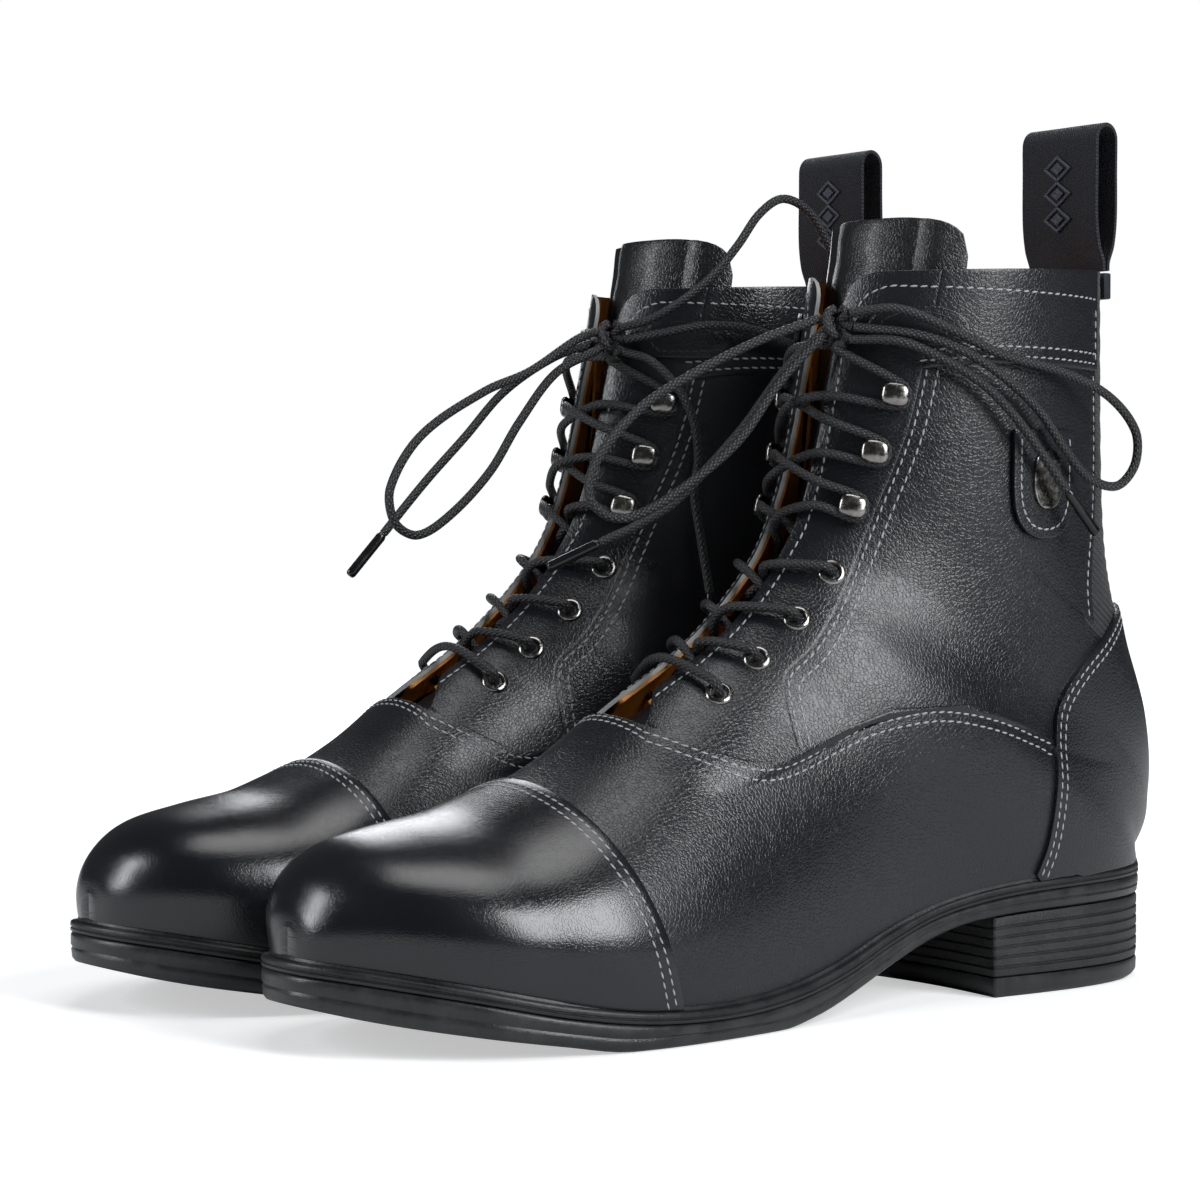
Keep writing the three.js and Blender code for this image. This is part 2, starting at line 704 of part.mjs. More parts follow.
// A route with its points joined by straight lines
class Route extends THREE.Curve {
  constructor(points) {
    super();
    this.points = points;
  }

  getPoint(t) {
    const at = Math.min(Math.max(t, 0), 1) * (this.points.length - 1);
    const k = Math.min(Math.floor(at), this.points.length - 2);
    return this.points[k].clone().lerp(this.points[k + 1], at - k);
  }

  getPointAt(t) {
    return this.getPoint(t);
  }

  getTangentAt(t) {
    const k = Math.round(t * (this.points.length - 1));
    const here = this.points[k];
    const along = new THREE.Vector3();
    if (k > 0) along.add(here.clone().sub(this.points[k - 1]).normalize());
    if (k < this.points.length - 1) along.add(this.points[k + 1].clone().sub(here).normalize());
    return along.normalize();
  }
}

function cord(path, steps, radius = laceRadius, sides = laceSides) {
  const ring = new THREE.Shape(Array.from({ length: sides }, (_, k) => {
    const angle = 2 * Math.PI * k / sides;
    return new THREE.Vector2(radius * Math.cos(angle), radius * Math.sin(angle));
  }));
  return new THREE.ExtrudeGeometry(ring, { steps, extrudePath: path });
}

// Distance of a place from the centre line, along the surface's width
function acrossOf({ s, u }) {
  const at = section(s);
  return Math.sign(u) * at.widths[0] * Math.sin(Math.abs(u) * at.turns[0]) * grade.x;
}
const atAcross = (s, x, out) => onLast(s, Math.sign(x) * reachAt(s, Math.abs(x)), out);
const onPlace = ({ s, u }, out) => onLast(s, u, out);

// A point on the way from one fastener to the next, at a distance from either
function between(from, to, distance, out) {
  const [x0, x1] = [acrossOf(from), acrossOf(to)];
  const length = lastPoint(from.s, from.u).distanceTo(lastPoint(to.s, to.u));
  const share = distance < 0 ? 1 + distance / length : distance / length;
  return atAcross(from.s + (to.s - from.s) * share, x0 + (x1 - x0) * share, out);
}

// The same, at a distance from the centre line
function beside(from, to, x, out) {
  const [x0, x1] = [acrossOf(from), acrossOf(to)];
  const share = (Math.sign(x1) * x - x0) / (x1 - x0);
  return atAcross(from.s + (to.s - from.s) * share, Math.sign(x1) * x, out);
}

function underAndOver(from, to, lift) {
  const gap = lift > 0
    ? [[-4, -0.6], [0, 2.4], [4.8, facingRun + 0.6]]
    : [[-4, -3.6], [1.2, -2.8], [5.3, facingRun + 0.4]];
  return [
    between(from, to, 1.6, insideRun - 0.1), beside(from, to, -8, insideRun),
    ...gap.map(([x, out]) => beside(from, to, x, out)),
  ];
}

// Round the far side of a hook's neck, from below to above
function roundNeck({ s, u }) {
  const normal = lastNormal(s, u);
  const up = lastPoint(s + 0.05, u).sub(lastPoint(s - 0.05, u)).normalize();
  const away = up.clone().cross(normal).multiplyScalar(Math.sign(u)).normalize();
  return [-1, 0, 1].map((turn) => {
    const angle = turn * Math.PI / 3;
    return onPlace({ s, u }, neckRun)
      .addScaledVector(away, hookTurn * Math.cos(angle))
      .addScaledVector(up, hookTurn * Math.sin(angle));
  });
}

function halfLacing(startSide) {
  const sideOf = (k) => (k % 2 ? -startSide : startSide);
  const eyelets = eyeletPlaces.map(({ s, u }, k) => ({ s, u: u * sideOf(k) }));
  const hooks = hookPlaces.map(({ s, u }, k) => ({ s, u: u * sideOf(k + eyelets.length) }));
  const lift = startSide;
  const points = [between(eyelets[0], { s: eyelets[0].s, u: -eyelets[0].u }, 1.6, outsideRun)];
  eyelets.forEach((place, k) => {
    const to = eyelets[k + 1] ?? hooks[0];
    points.push(onPlace(place, 2.2), onPlace(place, -0.6), ...underAndOver(place, to, lift));
    points.push(eyelets[k + 1] ? between(place, to, -1.6, outsideRun) : between(place, to, -7.5, facingRun + 1));
  });
  hooks.forEach((place, k) => {
    points.push(...roundNeck(place));
    const to = hooks[k + 1];
    if (!to) return;
    points.push(beside(place, to, -9, facingRun + 1.1));
    points.push(beside(place, to, 0, facingRun + 0.1 + (lift > 0 ? 2 * crossing : 0)));
    points.push(beside(place, to, 9, facingRun + 1.1));
  });
  return points;
}

// The bow's knot, and what hangs from it. Each boot's lace lies in its own way.
const knotPlace = [11.5, -117.8, 202.5];
const knotSize = [5.3, 4.7, 5];
const looseLaces = {
  left: {
    lace_front_loop: [
      [8, -122.3, 203.6], [1.9, -139.9, 196.9], [-6, -158.1, 187], [-12.1, -172.2, 177.3],
      [-17.4, -184.2, 162.3], [-18.6, -187, 151.7], [-16.5, -182.2, 145.3], [-13.4, -175.2, 144.8],
      [-8.2, -163.1, 151.7], [-0.7, -146, 166.8], [4.4, -133.8, 185], [9.4, -123, 197.8],
    ],
    lace_rear_loop: [
      [16.8, -117.5, 205.2], [27.5, -107.8, 206.2], [37, -94.5, 199.8], [41, -80, 193.2],
      [42.5, -57, 188.5], [43, -38, 181.5], [42.5, -26, 171], [42, -25.5, 161], [42, -33, 154.2],
      [42.5, -45, 156.5], [44.2, -57, 165.5], [43.5, -66.5, 176.5], [42, -79.5, 186.4],
      [38.6, -91, 193.4], [31.5, -102.5, 198.4], [17.6, -116.5, 201],
    ],
    lace_front_end: [
      [6.3, -119.6, 199.8], [1.4, -129.2, 189], [-5.9, -139.6, 171.6], [-12.1, -149, 158.8],
      [-17.8, -156.9, 148.9], [-23.7, -164.8, 142.7], [-30.9, -174.3, 137],
    ],
    lace_rear_end: [
      [16.4, -117, 197.4], [28.5, -107.5, 196.5], [35.6, -95.7, 190.8], [40, -84.8, 183.6],
      [42.8, -76.2, 175.2], [45, -67.6, 164.7], [46, -57.5, 152.8],
    ],
  },
  right: {
    lace_front_loop: [
      [9.6, -123.4, 203.8], [12.8, -132.4, 201], [14.9, -151.6, 190.4], [16.8, -170, 183.6],
      [19.3, -194.7, 169.5], [20.7, -206.5, 153.5], [20.2, -204.6, 143], [19.4, -196.1, 139.1],
      [18.1, -183.4, 145.2], [16.5, -167.7, 158.7], [15.4, -156, 174.2], [13.9, -141.2, 190],
      [11.3, -123.6, 197.8],
    ],
    lace_rear_loop: [
      [16.8, -117.5, 205.2], [26, -113, 207.5], [34, -107.7, 212.4], [39.5, -98.3, 221],
      [42.5, -90.4, 231], [44.3, -83, 241.3], [45, -74.3, 246.4], [45, -63.9, 243], [44.5, -54.8, 232],
      [44, -49.5, 218], [43.6, -47.5, 206.5], [43.2, -54, 198.5], [42.8, -66, 199.5],
      [41.5, -82, 204.2], [38, -97.5, 205.6], [29, -110, 203.2], [17.6, -116.5, 201.4],
    ],
    lace_front_end: [
      [6.4, -121.2, 200.6], [6, -137, 195.3], [3.8, -154, 184.3], [1.4, -167.4, 169.6],
      [-1.2, -180, 156], [-3.9, -194, 139.5],
    ],
    lace_rear_end: [
      [16.2, -116.4, 197.6], [23.5, -110.8, 194.5], [30, -105.2, 186], [33.6, -101.4, 175.4],
      [34.6, -100.2, 163.8], [34.4, -101.6, 152.1], [36, -100.2, 138.2], [39.2, -99, 120.5],
    ],
  },
};
const loopSteps = 22;
const endSteps = 12;
const pointOf = ([x, y, z]) => new THREE.Vector3(x, y, z).multiply(grade);

function lacing(hand) {
  const knot = pointOf(knotPlace).multiply(new THREE.Vector3(hand, 1, 1));
  const ends = [1, -1].map((side) => {
    const half = halfLacing(side);
    // the top hook lies on the side that an even count of fasteners away from the start gives
    const last = Math.sign(half[half.length - 1].x);
    const over = onLast(16.15, last * reachAt(16.15, 9), facingRun + (side > 0 ? 3.2 : 1.4));
    const foot = knot.clone().add(new THREE.Vector3(last * 3, 0.6, -6.2));
    return [...half, over, foot];
  });
  const middle = onLast(eyeletPlaces[0].s, 0, facingRun + 1.2);
  const points = [...ends[0].reverse(), middle, ...ends[1]];
  return cord(new Route(points), points.length - 1);
}

function knot() {
  const lump = merged(new THREE.SphereGeometry(1, 8, 6)).scale(...knotSize);
  return lump.translate(...pointOf(knotPlace).toArray());
}

function looseLace(points) {
  const closesOnKnot = points[0][2] - points[points.length - 1][2] < 10;
  return cord(new THREE.CatmullRomCurve3(points.map(pointOf)), closesOnKnot ? loopSteps : endSteps);
}

// The sleeve on a lace's end, in line with its last stretch
function aglet(points) {
  const [before, end] = points.slice(-2).map(pointOf);
  const along = end.clone().sub(before).normalize();
  const start = end.clone().addScaledVector(along, fit);
  const stop = start.clone().addScaledVector(along, agletLength);
  return cord(new THREE.LineCurve3(start, stop), 1, agletDiameter / 2, 6);
}

// Finishes
const finish = (color, roughness, metalness = 0) => ({ color, roughness, metalness });
const finishes = {
  blackLeather: finish(0x17181b, 0.34),
  capLeather: finish(0x14161a, 0.26),
  orangeLining: finish(0xc9761c, 0.7),
  elastic: finish(0x101114, 0.85),
  webbing: finish(0x121520, 0.8),
  rubber: finish(0x1d1e20, 0.62),
  heelStack: finish(0x2a2b2d, 0.58),
  footbed: finish(0xb98a4a, 0.8),
  antiqueSilver: finish(0x8d8a84, 0.3, 1),
  waxedLace: finish(0x0c0c0d, 0.6),
  aglet: finish(0x0a0a0b, 0.25),
};

function material(kind) {
  const { color, roughness, metalness } = finishes[kind];
  return new THREE.MeshStandardMaterial({ color, roughness, metalness });
}

// Mirrors a shape for the right boot and keeps its faces pointing out
function handed(geometry, hand) {
  const shape = merged(geometry);
  if (hand > 0) return shape;
  shape.scale(-1, 1, 1);
  return facingOut(shape);
}

const patchBase = leather + patchLift;
const plateBase = leather + 2 * patchLift + patchThickness;
const keeper = (side) => patch(keeperRows, patchBase, patchBase + patchThickness, side);

const pieces = {
  outsole: ['rubber', outsole()],
  heel_stack: ['heelStack', heelStack()],
  heel_top_lift: ['rubber', topLift()],
  welt: ['rubber', welt()],
  insole: ['footbed', insole()],
  toe_cap: ['capLeather', toeCap()],
  vamp: ['blackLeather', vamp()],
  outer_quarter: ['blackLeather', quarter(1)],
  inner_quarter: ['blackLeather', quarter(-1)],
  outer_facing: ['blackLeather', piercedFacing(1)],
  inner_facing: ['blackLeather', piercedFacing(-1)],
  heel_counter: ['blackLeather', counter()],
  rear_gusset: ['elastic', gusset()],
  lining: ['orangeLining', lining()],
  tongue: ['blackLeather', tongue()],
  pull_tab: ['webbing', pullTab()],
  outer_fastener_row: ['antiqueSilver', fastenerRow(1)],
  inner_fastener_row: ['antiqueSilver', fastenerRow(-1)],
  badge_patch: ['blackLeather', patch(badgeRows, patchBase, patchBase + patchThickness)],
  badge_plate: ['antiqueSilver', patch(plateRows, plateBase, plateBase + patchThickness)],
  outer_lace_keeper: ['blackLeather', keeper(1)],
  inner_lace_keeper: ['blackLeather', keeper(-1)],
};

function lacePieces(name, hand) {
  const loose = looseLaces[name];
  return {
    lacing: ['waxedLace', handed(lacing(hand), hand)],
    lace_knot: ['waxedLace', knot()],
    ...Object.fromEntries(Object.entries(loose).map(([piece, points]) => [piece, ['waxedLace', looseLace(points)]])),
    front_aglet: ['aglet', aglet(loose.lace_front_end)],
    rear_aglet: ['aglet', aglet(loose.lace_rear_end)],
  };
}

const boots = new THREE.Group();
[['left', 1], ['right', -1]].forEach(([name, hand]) => {
  const boot = new THREE.Group();
  Object.entries(pieces).forEach(([piece, [kind, geometry]]) => {
    const mesh = new THREE.Mesh(handed(geometry, hand), material(kind));
    mesh.name = `${name}_${piece}`;
    boot.add(mesh);
  });
  Object.entries(lacePieces(name, hand)).forEach(([piece, [kind, geometry]]) => {
    const mesh = new THREE.Mesh(facingOut(merged(geometry)), material(kind));
    mesh.name = `${name}_${piece}`;
    boot.add(mesh);
  });
  boot.position.set(hand * bootSpacing / 2, hand < 0 ? -bootStagger : 0, 0);
  boots.add(boot);
});

// The origin lies on the floor, under the middle of the pair
const footprint = new THREE.Box3().setFromObject(boots);
const middle = footprint.getCenter(new THREE.Vector3());
boots.position.set(-middle.x, -middle.y, -footprint.min.z);

export default boots;
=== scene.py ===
import math
from functools import lru_cache

import bmesh
import bpy
import numpy as np
from mathutils import Matrix, Vector


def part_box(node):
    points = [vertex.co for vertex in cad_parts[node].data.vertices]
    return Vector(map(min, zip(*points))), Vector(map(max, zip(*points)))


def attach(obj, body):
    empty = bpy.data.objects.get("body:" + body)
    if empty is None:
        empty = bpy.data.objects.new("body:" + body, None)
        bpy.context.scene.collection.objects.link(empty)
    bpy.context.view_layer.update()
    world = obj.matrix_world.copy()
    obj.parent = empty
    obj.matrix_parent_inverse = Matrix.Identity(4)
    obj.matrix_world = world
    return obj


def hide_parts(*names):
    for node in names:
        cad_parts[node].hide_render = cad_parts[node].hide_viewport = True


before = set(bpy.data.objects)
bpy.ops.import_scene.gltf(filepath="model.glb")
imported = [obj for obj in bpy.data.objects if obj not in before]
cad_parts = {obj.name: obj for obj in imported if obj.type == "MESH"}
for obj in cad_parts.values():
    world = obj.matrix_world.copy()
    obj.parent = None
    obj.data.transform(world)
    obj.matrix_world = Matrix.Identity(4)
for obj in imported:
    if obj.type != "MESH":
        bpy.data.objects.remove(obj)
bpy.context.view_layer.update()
print("frame loaded")

# Where each boot stands. The shapes below are worked out in millimetres round the left boot's own
# heel, and the right boot is their mirror image.
heelBehind = 0.0062  # the heel's back edge behind the boot's own zero
stand = {
    1: (0.052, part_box("left_heel_top_lift")[1][1] - heelBehind),
    -1: (-0.052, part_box("right_heel_top_lift")[1][1] - heelBehind),
}
hands = {1: "left", -1: "right"}

# ---- camera, floor and light

view = {
    "from": (0.8289, -0.7395 + stand[1][1], 0.1476), "towards": (-0.819, 0.573, -0.028),
    "lens": 99.1, "sensor": 36.0,
}
studio = {
    # the floor's glow is painted light: its camera-only strength near the boots, then far away
    "floor": 14.0, "floorColor": (0.8, 0.8, 0.81), "paintedGlow": (0.5, 1.0), "sky": 0.05,
    "lights": [
        # name, place, size, power, colour
        ("front_left", (-0.7, -1.5, 0.75), (0.45, 1.1), 14, (0.93, 0.97, 1.0)),
        ("side", (1.5, 0.35, 0.95), (0.7, 1.2), 27, (0.95, 0.98, 1.0)),
        ("top", (0.1, 0.1, 1.7), (0.8, 0.9), 7, (1.0, 1.0, 1.0)),
        ("back_left", (-1.4, 0.9, 0.8), (0.6, 1.2), 8, (0.95, 0.97, 1.0)),
    ],
}

camera = bpy.data.objects.new("camera", bpy.data.cameras.new("camera"))
camera.location = view["from"]
camera.rotation_euler = Vector(view["towards"]).to_track_quat("-Z", "Y").to_euler()
camera.data.lens = view["lens"]
camera.data.sensor_width = view["sensor"]
camera.data.clip_start = 0.05
bpy.context.scene.collection.objects.link(camera)
bpy.context.scene.camera = camera

for name, place, size, power, color in studio["lights"]:
    lamp = bpy.data.lights.new(name, "AREA")
    lamp.shape = "RECTANGLE"
    lamp.size, lamp.size_y = size
    lamp.energy = power
    lamp.color = color
    lampObject = bpy.data.objects.new(name, lamp)
    lampObject.location = place
    lampObject.rotation_euler = (Vector((0, 0, 0.1)) - Vector(place)).to_track_quat("-Z", "Y").to_euler()
    bpy.context.scene.collection.objects.link(lampObject)

world = bpy.data.worlds.new("studio")
bpy.context.scene.world = world
world.use_nodes = True
sky = world.node_tree.nodes["Background"]
sky.inputs["Color"].default_value = (0.93, 0.96, 1.0, 1)
sky.inputs["Strength"].default_value = studio["sky"]
backdrop = world.node_tree.nodes.new("ShaderNodeBackground")  # what the camera sees behind the boots
backdrop.inputs["Color"].default_value = (1, 1, 1, 1)
rays = world.node_tree.nodes.new("ShaderNodeLightPath")
choose = world.node_tree.nodes.new("ShaderNodeMixShader")
worldLinks = world.node_tree.links
worldLinks.new(rays.outputs["Is Camera Ray"], choose.inputs[0])
worldLinks.new(sky.outputs[0], choose.inputs[1])
worldLinks.new(backdrop.outputs[0], choose.inputs[2])
worldLinks.new(choose.outputs[0], world.node_tree.nodes["World Output"].inputs["Surface"])
bpy.context.scene.view_settings.view_transform = "Standard"

# ---- the last: one surface that every leather panel lies on

heelEnd = 4
footLength = 301
outlineRows = [
    [0, 62, 62], [0.063, 54.5, 53.5], [0.163, 44.7, 43.4], [0.269, 37.2, 35], [0.379, 35, 28.4],
    [0.512, 40.5, 30], [0.645, 50.2, 40.2], [0.728, 56.2, 50], [0.811, 60, 57.5], [0.894, 63, 64],
    [1, 56, 76],
]
featherRows = [
    [-300, 25.6], [-285, 23], [-265, 19], [-240, 13.5], [-215, 10], [-185, 9], [-160, 11], [-140, 15.5],
    [-120, 22.5], [-100, 28.5], [-77, 32.5], [-50, 34.5], [6, 35.5],
]
treadRows = [
    [-302, 14.5], [-285, 10.2], [-265, 6.6], [-240, 2.6], [-222, 0], [-165, 0], [-150, 2.6], [-140, 5.6],
    [-120, 13], [-100, 19.8], [-82, 23.6], [-50, 25.4], [8, 26],
]
# section, front y and z, base y and z, swell, height of the widest place, ridge x
sectionRows = [
    [0, -296.8, 34, -296.8, 0, 2, 0.45, -1], [1, -295.5, 40, -294.5, 0, 4, 0.4, -2],
    [2, -291, 47.5, -289.5, 0, 6, 0.35, -3], [3, -281, 54, -279, 0, 8, 0.32, -4],
    [4, -263, 58, -261, 0, 9, 0.3, -5], [5, -241, 62, -236, 0, 10, 0.28, -5],
    [6, -220, 69, -211, 0, 11, 0.26, -4], [7, -201, 80, -184, 0, 13, 0.27, -3],
    [8, -183, 92.5, -153, 0, 15, 0.32, -2], [9, -167, 102.5, -117, 0, 17, 0.38, -1],
    [10, -154, 112.5, -75, 0, 18, 0.44, 0], [11, -144, 122, -32, 0, 24, 0.48, 0],
    [12, -136, 132, 4, 35.8, 36, 0.5, 0], [13, -129.5, 143.5, 11, 54, 36, 0.5, 0],
    [14, -124.5, 156, 9, 75, 36, 0.5, 0], [15, -120, 172, -2, 101, 36.5, 0.5, 0],
    [16, -115.5, 191, -11, 138, 37, 0.5, 0], [17, -109, 217.5, -14, 221, 38, 0.5, 0],
    [18, -104.5, 239, -15, 243, 38.5, 0.5, 0],
]
heelSection = 12
topSection = 17
footGap = 0.8


def smooth(rows, at):  # smooth curve through rows of [at, value, value ...]
    k = 0
    while k < len(rows) - 2 and at > rows[k + 1][0]:
        k += 1
    before, start, end = rows[max(k - 1, 0)], rows[k], rows[k + 1]
    after = rows[min(k + 2, len(rows) - 1)]
    span = end[0] - start[0]
    t = (at - start[0]) / span
    values = []
    for i in range(1, len(start)):
        slopeIn = (end[i] - before[i]) / (end[0] - before[0]) * span
        slopeOut = (after[i] - start[i]) / (after[0] - start[0]) * span
        values.append(
            start[i] * (2 * t**3 - 3 * t**2 + 1) + slopeIn * (t**3 - 2 * t**2 + t)
            + end[i] * (3 * t**2 - 2 * t**3) + slopeOut * (t**3 - t**2)
        )
    return values


def clamp(value, low=0.0, high=1.0):
    return min(max(value, low), high)


def ease(t):
    t = clamp(t)
    return t * t * (3 - 2 * t)


def halfWidths(y):
    t = clamp((heelEnd - y) / footLength)
    return [fullness * math.sqrt(4 * t * (1 - t)) for fullness in smooth(outlineRows, t)]


def feather(y):
    return smooth(featherRows, y)[0]


def tread(y):
    return 0.0 if -222 <= y <= -165 else max(smooth(treadRows, y)[0], 0.0)


@lru_cache(maxsize=None)
def section(s):
    frontY, frontZ, baseY, baseZ, swell, widest, ridge = smooth(sectionRows, s)
    half = [0.0, 0.0]
    if s < heelSection:
        baseY = min(baseY, heelEnd)
        baseZ = max(feather(baseY), feather(baseY - 2)) + footGap
        half = halfWidths(baseY)
    widths = [math.hypot(value, swell) for value in half]
    turns = [math.pi - math.asin(value / width) for value, width in zip(half, widths)]
    return frontY, frontZ, baseY, baseZ, widths, turns, widest, ridge


def sectionPoint(s, u):  # u is 0 on the front ridge, 1 at the outer welt or back seam, -1 at the inner one
    frontY, frontZ, baseY, baseZ, widths, turns, widest, ridge = section(round(s, 6))
    side = 1 if u < 0 else 0
    angle = abs(u) * turns[side]
    if angle < math.pi / 2:
        height = widest + (1 - widest) * math.cos(angle)
    else:
        height = widest * (1 - math.cos(angle) / math.cos(turns[side]))
    x = ridge * (1 + math.cos(math.pi * abs(u))) / 2 + math.copysign(widths[side] * math.sin(angle), u)
    return np.array((x, baseY + (frontY - baseY) * height, baseZ + (frontZ - baseZ) * height))


@lru_cache(maxsize=None)
def roundHeel(u):  # the places and slopes that the surface is eased between, over the heel's corner
    nearBack = ease((abs(u) - 0.5) / 0.5)
    low, high = 11.1 + 0.45 * nearBack, 13.0 - 0.5 * nearBack
    start, end = sectionPoint(low, u), sectionPoint(high, u)
    leaving = (start - sectionPoint(low - 0.05, u)) / 0.05
    arriving = (sectionPoint(high + 0.05, u) - end) / 0.05
    return low, high, start, end, leaving * (high - low), arriving * (high - low)


def lastPoint(s, u):
    point = sectionPoint(s, u)
    if not 11.1 < s < 13:
        return point
    low, high, start, end, leaving, arriving = roundHeel(round(u, 6))
    if not low < s < high:
        return point
    t = (s - low) / (high - low)
    eased = (
        start * (2 * t**3 - 3 * t**2 + 1) + leaving * (t**3 - 2 * t**2 + t)
        + end * (3 * t**2 - 2 * t**3) + arriving * (t**3 - t**2)
    )
    share = ease((1 - abs(u)) / 0.2)
    return point * (1 - share) + eased * share


def lastNormal(s, u):
    alongS = lastPoint(min(s + 0.03, 18), u) - lastPoint(max(s - 0.03, 0), u)
    alongU = lastPoint(s, min(u + 0.006, 1)) - lastPoint(s, max(u - 0.006, -1))
    normal = np.cross(alongU, alongS)
    return normal / np.linalg.norm(normal)


def onLast(s, u, out):
    normal = lastNormal(s, u)
    if abs(u) > 0.999 and s < heelSection + 0.01:
        normal[2] = 0
        normal /= np.linalg.norm(normal)
    return lastPoint(s, u) + normal * out


def fromSide(y, z, inner=False):  # the place that a side view shows at (y, z)
    low, high = 1.0, 18.0
    for _ in range(34):
        middle = (low + high) / 2
        frontY, frontZ, baseY, baseZ = section(middle)[:4]
        if (z - baseZ) * (frontY - baseY) - (y - baseY) * (frontZ - baseZ) > 0:
            high = middle
        else:
            low = middle
    frontY, frontZ, baseY, baseZ, widths, turns, widest, _ = section(round(middle, 6))
    rise = np.array((frontY - baseY, frontZ - baseZ))
    height = np.dot(np.array((y - baseY, z - baseZ)), rise) / np.dot(rise, rise)
    turn = turns[1 if inner else 0]
    cosine = (height - widest) / (1 - widest) if height > widest else (1 - height / widest) * math.cos(turn)
    u = min(math.acos(clamp(cosine, -1, 1)) / turn, 1.0) * (-1 if inner else 1)
    if 10.8 < middle < 13.3 and abs(u) < 0.97:  # the eased part is found step by step
        for _ in range(9):
            here = lastPoint(middle, u)
            alongS = (lastPoint(middle + 0.02, u) - here) / 0.02
            alongU = (lastPoint(middle, u + 0.004) - here) / 0.004
            grid = np.array(((alongS[1], alongU[1]), (alongS[2], alongU[2])))
            if abs(np.linalg.det(grid)) < 1e-6:
                break
            ds, du = np.linalg.solve(grid, np.array((y - here[1], z - here[2])))
            middle += clamp(ds, -0.3, 0.3)
            u = clamp(u + clamp(du, -0.06, 0.06), -1, 1)
    return middle, abs(u)


def throughPoints(points, step):  # smooth line through the points, with a point every step
    points = [np.array(p, float) for p in points]
    along = [0.0]
    for a, b in zip(points, points[1:]):
        along.append(along[-1] + float(np.linalg.norm(b - a)))
    rows = [[at, *p] for at, p in zip(along, points)]
    count = max(int(round(along[-1] / step)), 2)
    return [np.array(smooth(rows, along[-1] * k / count)) for k in range(count + 1)]


def seamOf(points):
    return [fromSide(y, z) for y, z in throughPoints([(y, z) for y, z in points], 3.0)]


vampLine = [
    (-190, 84), (-182, 80), (-170, 75), (-160, 74.5), (-150, 77), (-141, 80.5), (-122, 87), (-101, 89.5),
    (-80, 86), (-56, 78),
]
counterLine = [
    (-60, 37), (-57.5, 46), (-56, 62), (-55.5, 78), (-53, 88), (-45, 97.5), (-33, 106.5), (-20, 114.5),
    (-8, 118),
]
facingLine = [
    (-150, 72), (-150, 88), (-148, 98), (-138.5, 106), (-127.5, 118), (-120.5, 128), (-111, 148),
    (-103, 169), (-98, 190), (-92, 219),
]
collarLine = [(-99, 189), (-80, 190.5), (-60, 190.5), (-45, 190), (-31, 189.5)]
vampSeam = [(7.5, 0.0), (7.5, 0.06)] + seamOf(vampLine)
counterSeam = seamOf(counterLine)
gussetSeam = seamOf([(-33, 100), (-35, 110), (-36, 124), (-32, 145), (-31, 165), (-32, 195), (-32, 221)])
facingSeam = seamOf(facingLine)


def reachOf(seam):  # a seam's reach at a section
    rows = sorted(seam)
    at = np.array([s for s, u in rows])
    reach = np.array([u for s, u in rows])
    return lambda s: float(np.interp(s, at, reach))


facingReach = reachOf(facingSeam)
counterReach = reachOf(counterSeam)
gussetReach = reachOf(gussetSeam)
counterFront = seamOf([(-54, 37), (-51.5, 46), (-50, 62), (-50, 74)])  # the vamp runs on under the counter
vampEnd, vampRear = vampSeam[-1]
vampEdge = sorted([(u, s) for s, u in vampSeam] + [(u, s) for s, u in counterFront if u > vampRear + 0.004])


def vampTop(u):  # the vamp's upper edge: the section that it ends on at a reach
    return float(np.interp(abs(u), [p[0] for p in vampEdge], [p[1] for p in vampEdge]))


vampReach = reachOf([p for p in vampSeam if p[0] > 7.5] + [(7.49, 0.1)])
counterFoot = counterSeam[0][0]
counterTop = 15.5
gussetFoot = fromSide(-33, 106.5)[0]
capSeam = lambda u: 5.9 + 0.35 * u * u


def reachAt(s, x):
    widths, turns = section(round(s, 6))[4:6]
    return math.asin(clamp(x / widths[0])) / turns[0]


# ---- finishes

def newGroup(name, inputs, outputs):
    group = bpy.data.node_groups.new(name, "ShaderNodeTree")
    for label, kind, value in inputs:
        socket = group.interface.new_socket(label, in_out="INPUT", socket_type=kind)
        if value is not None:
            socket.default_value = value
    for label, kind in outputs:
        group.interface.new_socket(label, in_out="OUTPUT", socket_type=kind)
    return group, group.nodes.new("NodeGroupInput"), group.nodes.new("NodeGroupOutput")


def node(tree, kind, links=(), **settings):  # one node with its settings, values and links
    made = tree.nodes.new(kind)
    for key, value in settings.items():
        if key.startswith("in_"):
            index = key[3:]
            made.inputs[int(index) if index.isdigit() else index.replace("_", " ")].default_value = value
        else:
            setattr(made, key, value)
    for source, target in links:
        tree.links.new(source, made.inputs[target])
    return made


def maths(tree, operation, a, b=None, c=None, clampIt=False):
    made = tree.nodes.new("ShaderNodeMath")
    made.operation = operation
    made.use_clamp = clampIt
    for slot, value in enumerate((a, b, c)):
        if value is None:
            continue
        if isinstance(value, (int, float)):
            made.inputs[slot].default_value = value
        else:
            tree.links.new(value, made.inputs[slot])
    return made.outputs[0]


def remap(tree, source, low, high, toLow, toHigh):
    made = node(tree, "ShaderNodeMapRange", [(source, "Value")], clamp=True)
    for label, value in zip(("From Min", "From Max", "To Min", "To Max"), (low, high, toLow, toHigh)):
        made.inputs[label].default_value = value
    return made.outputs[0]


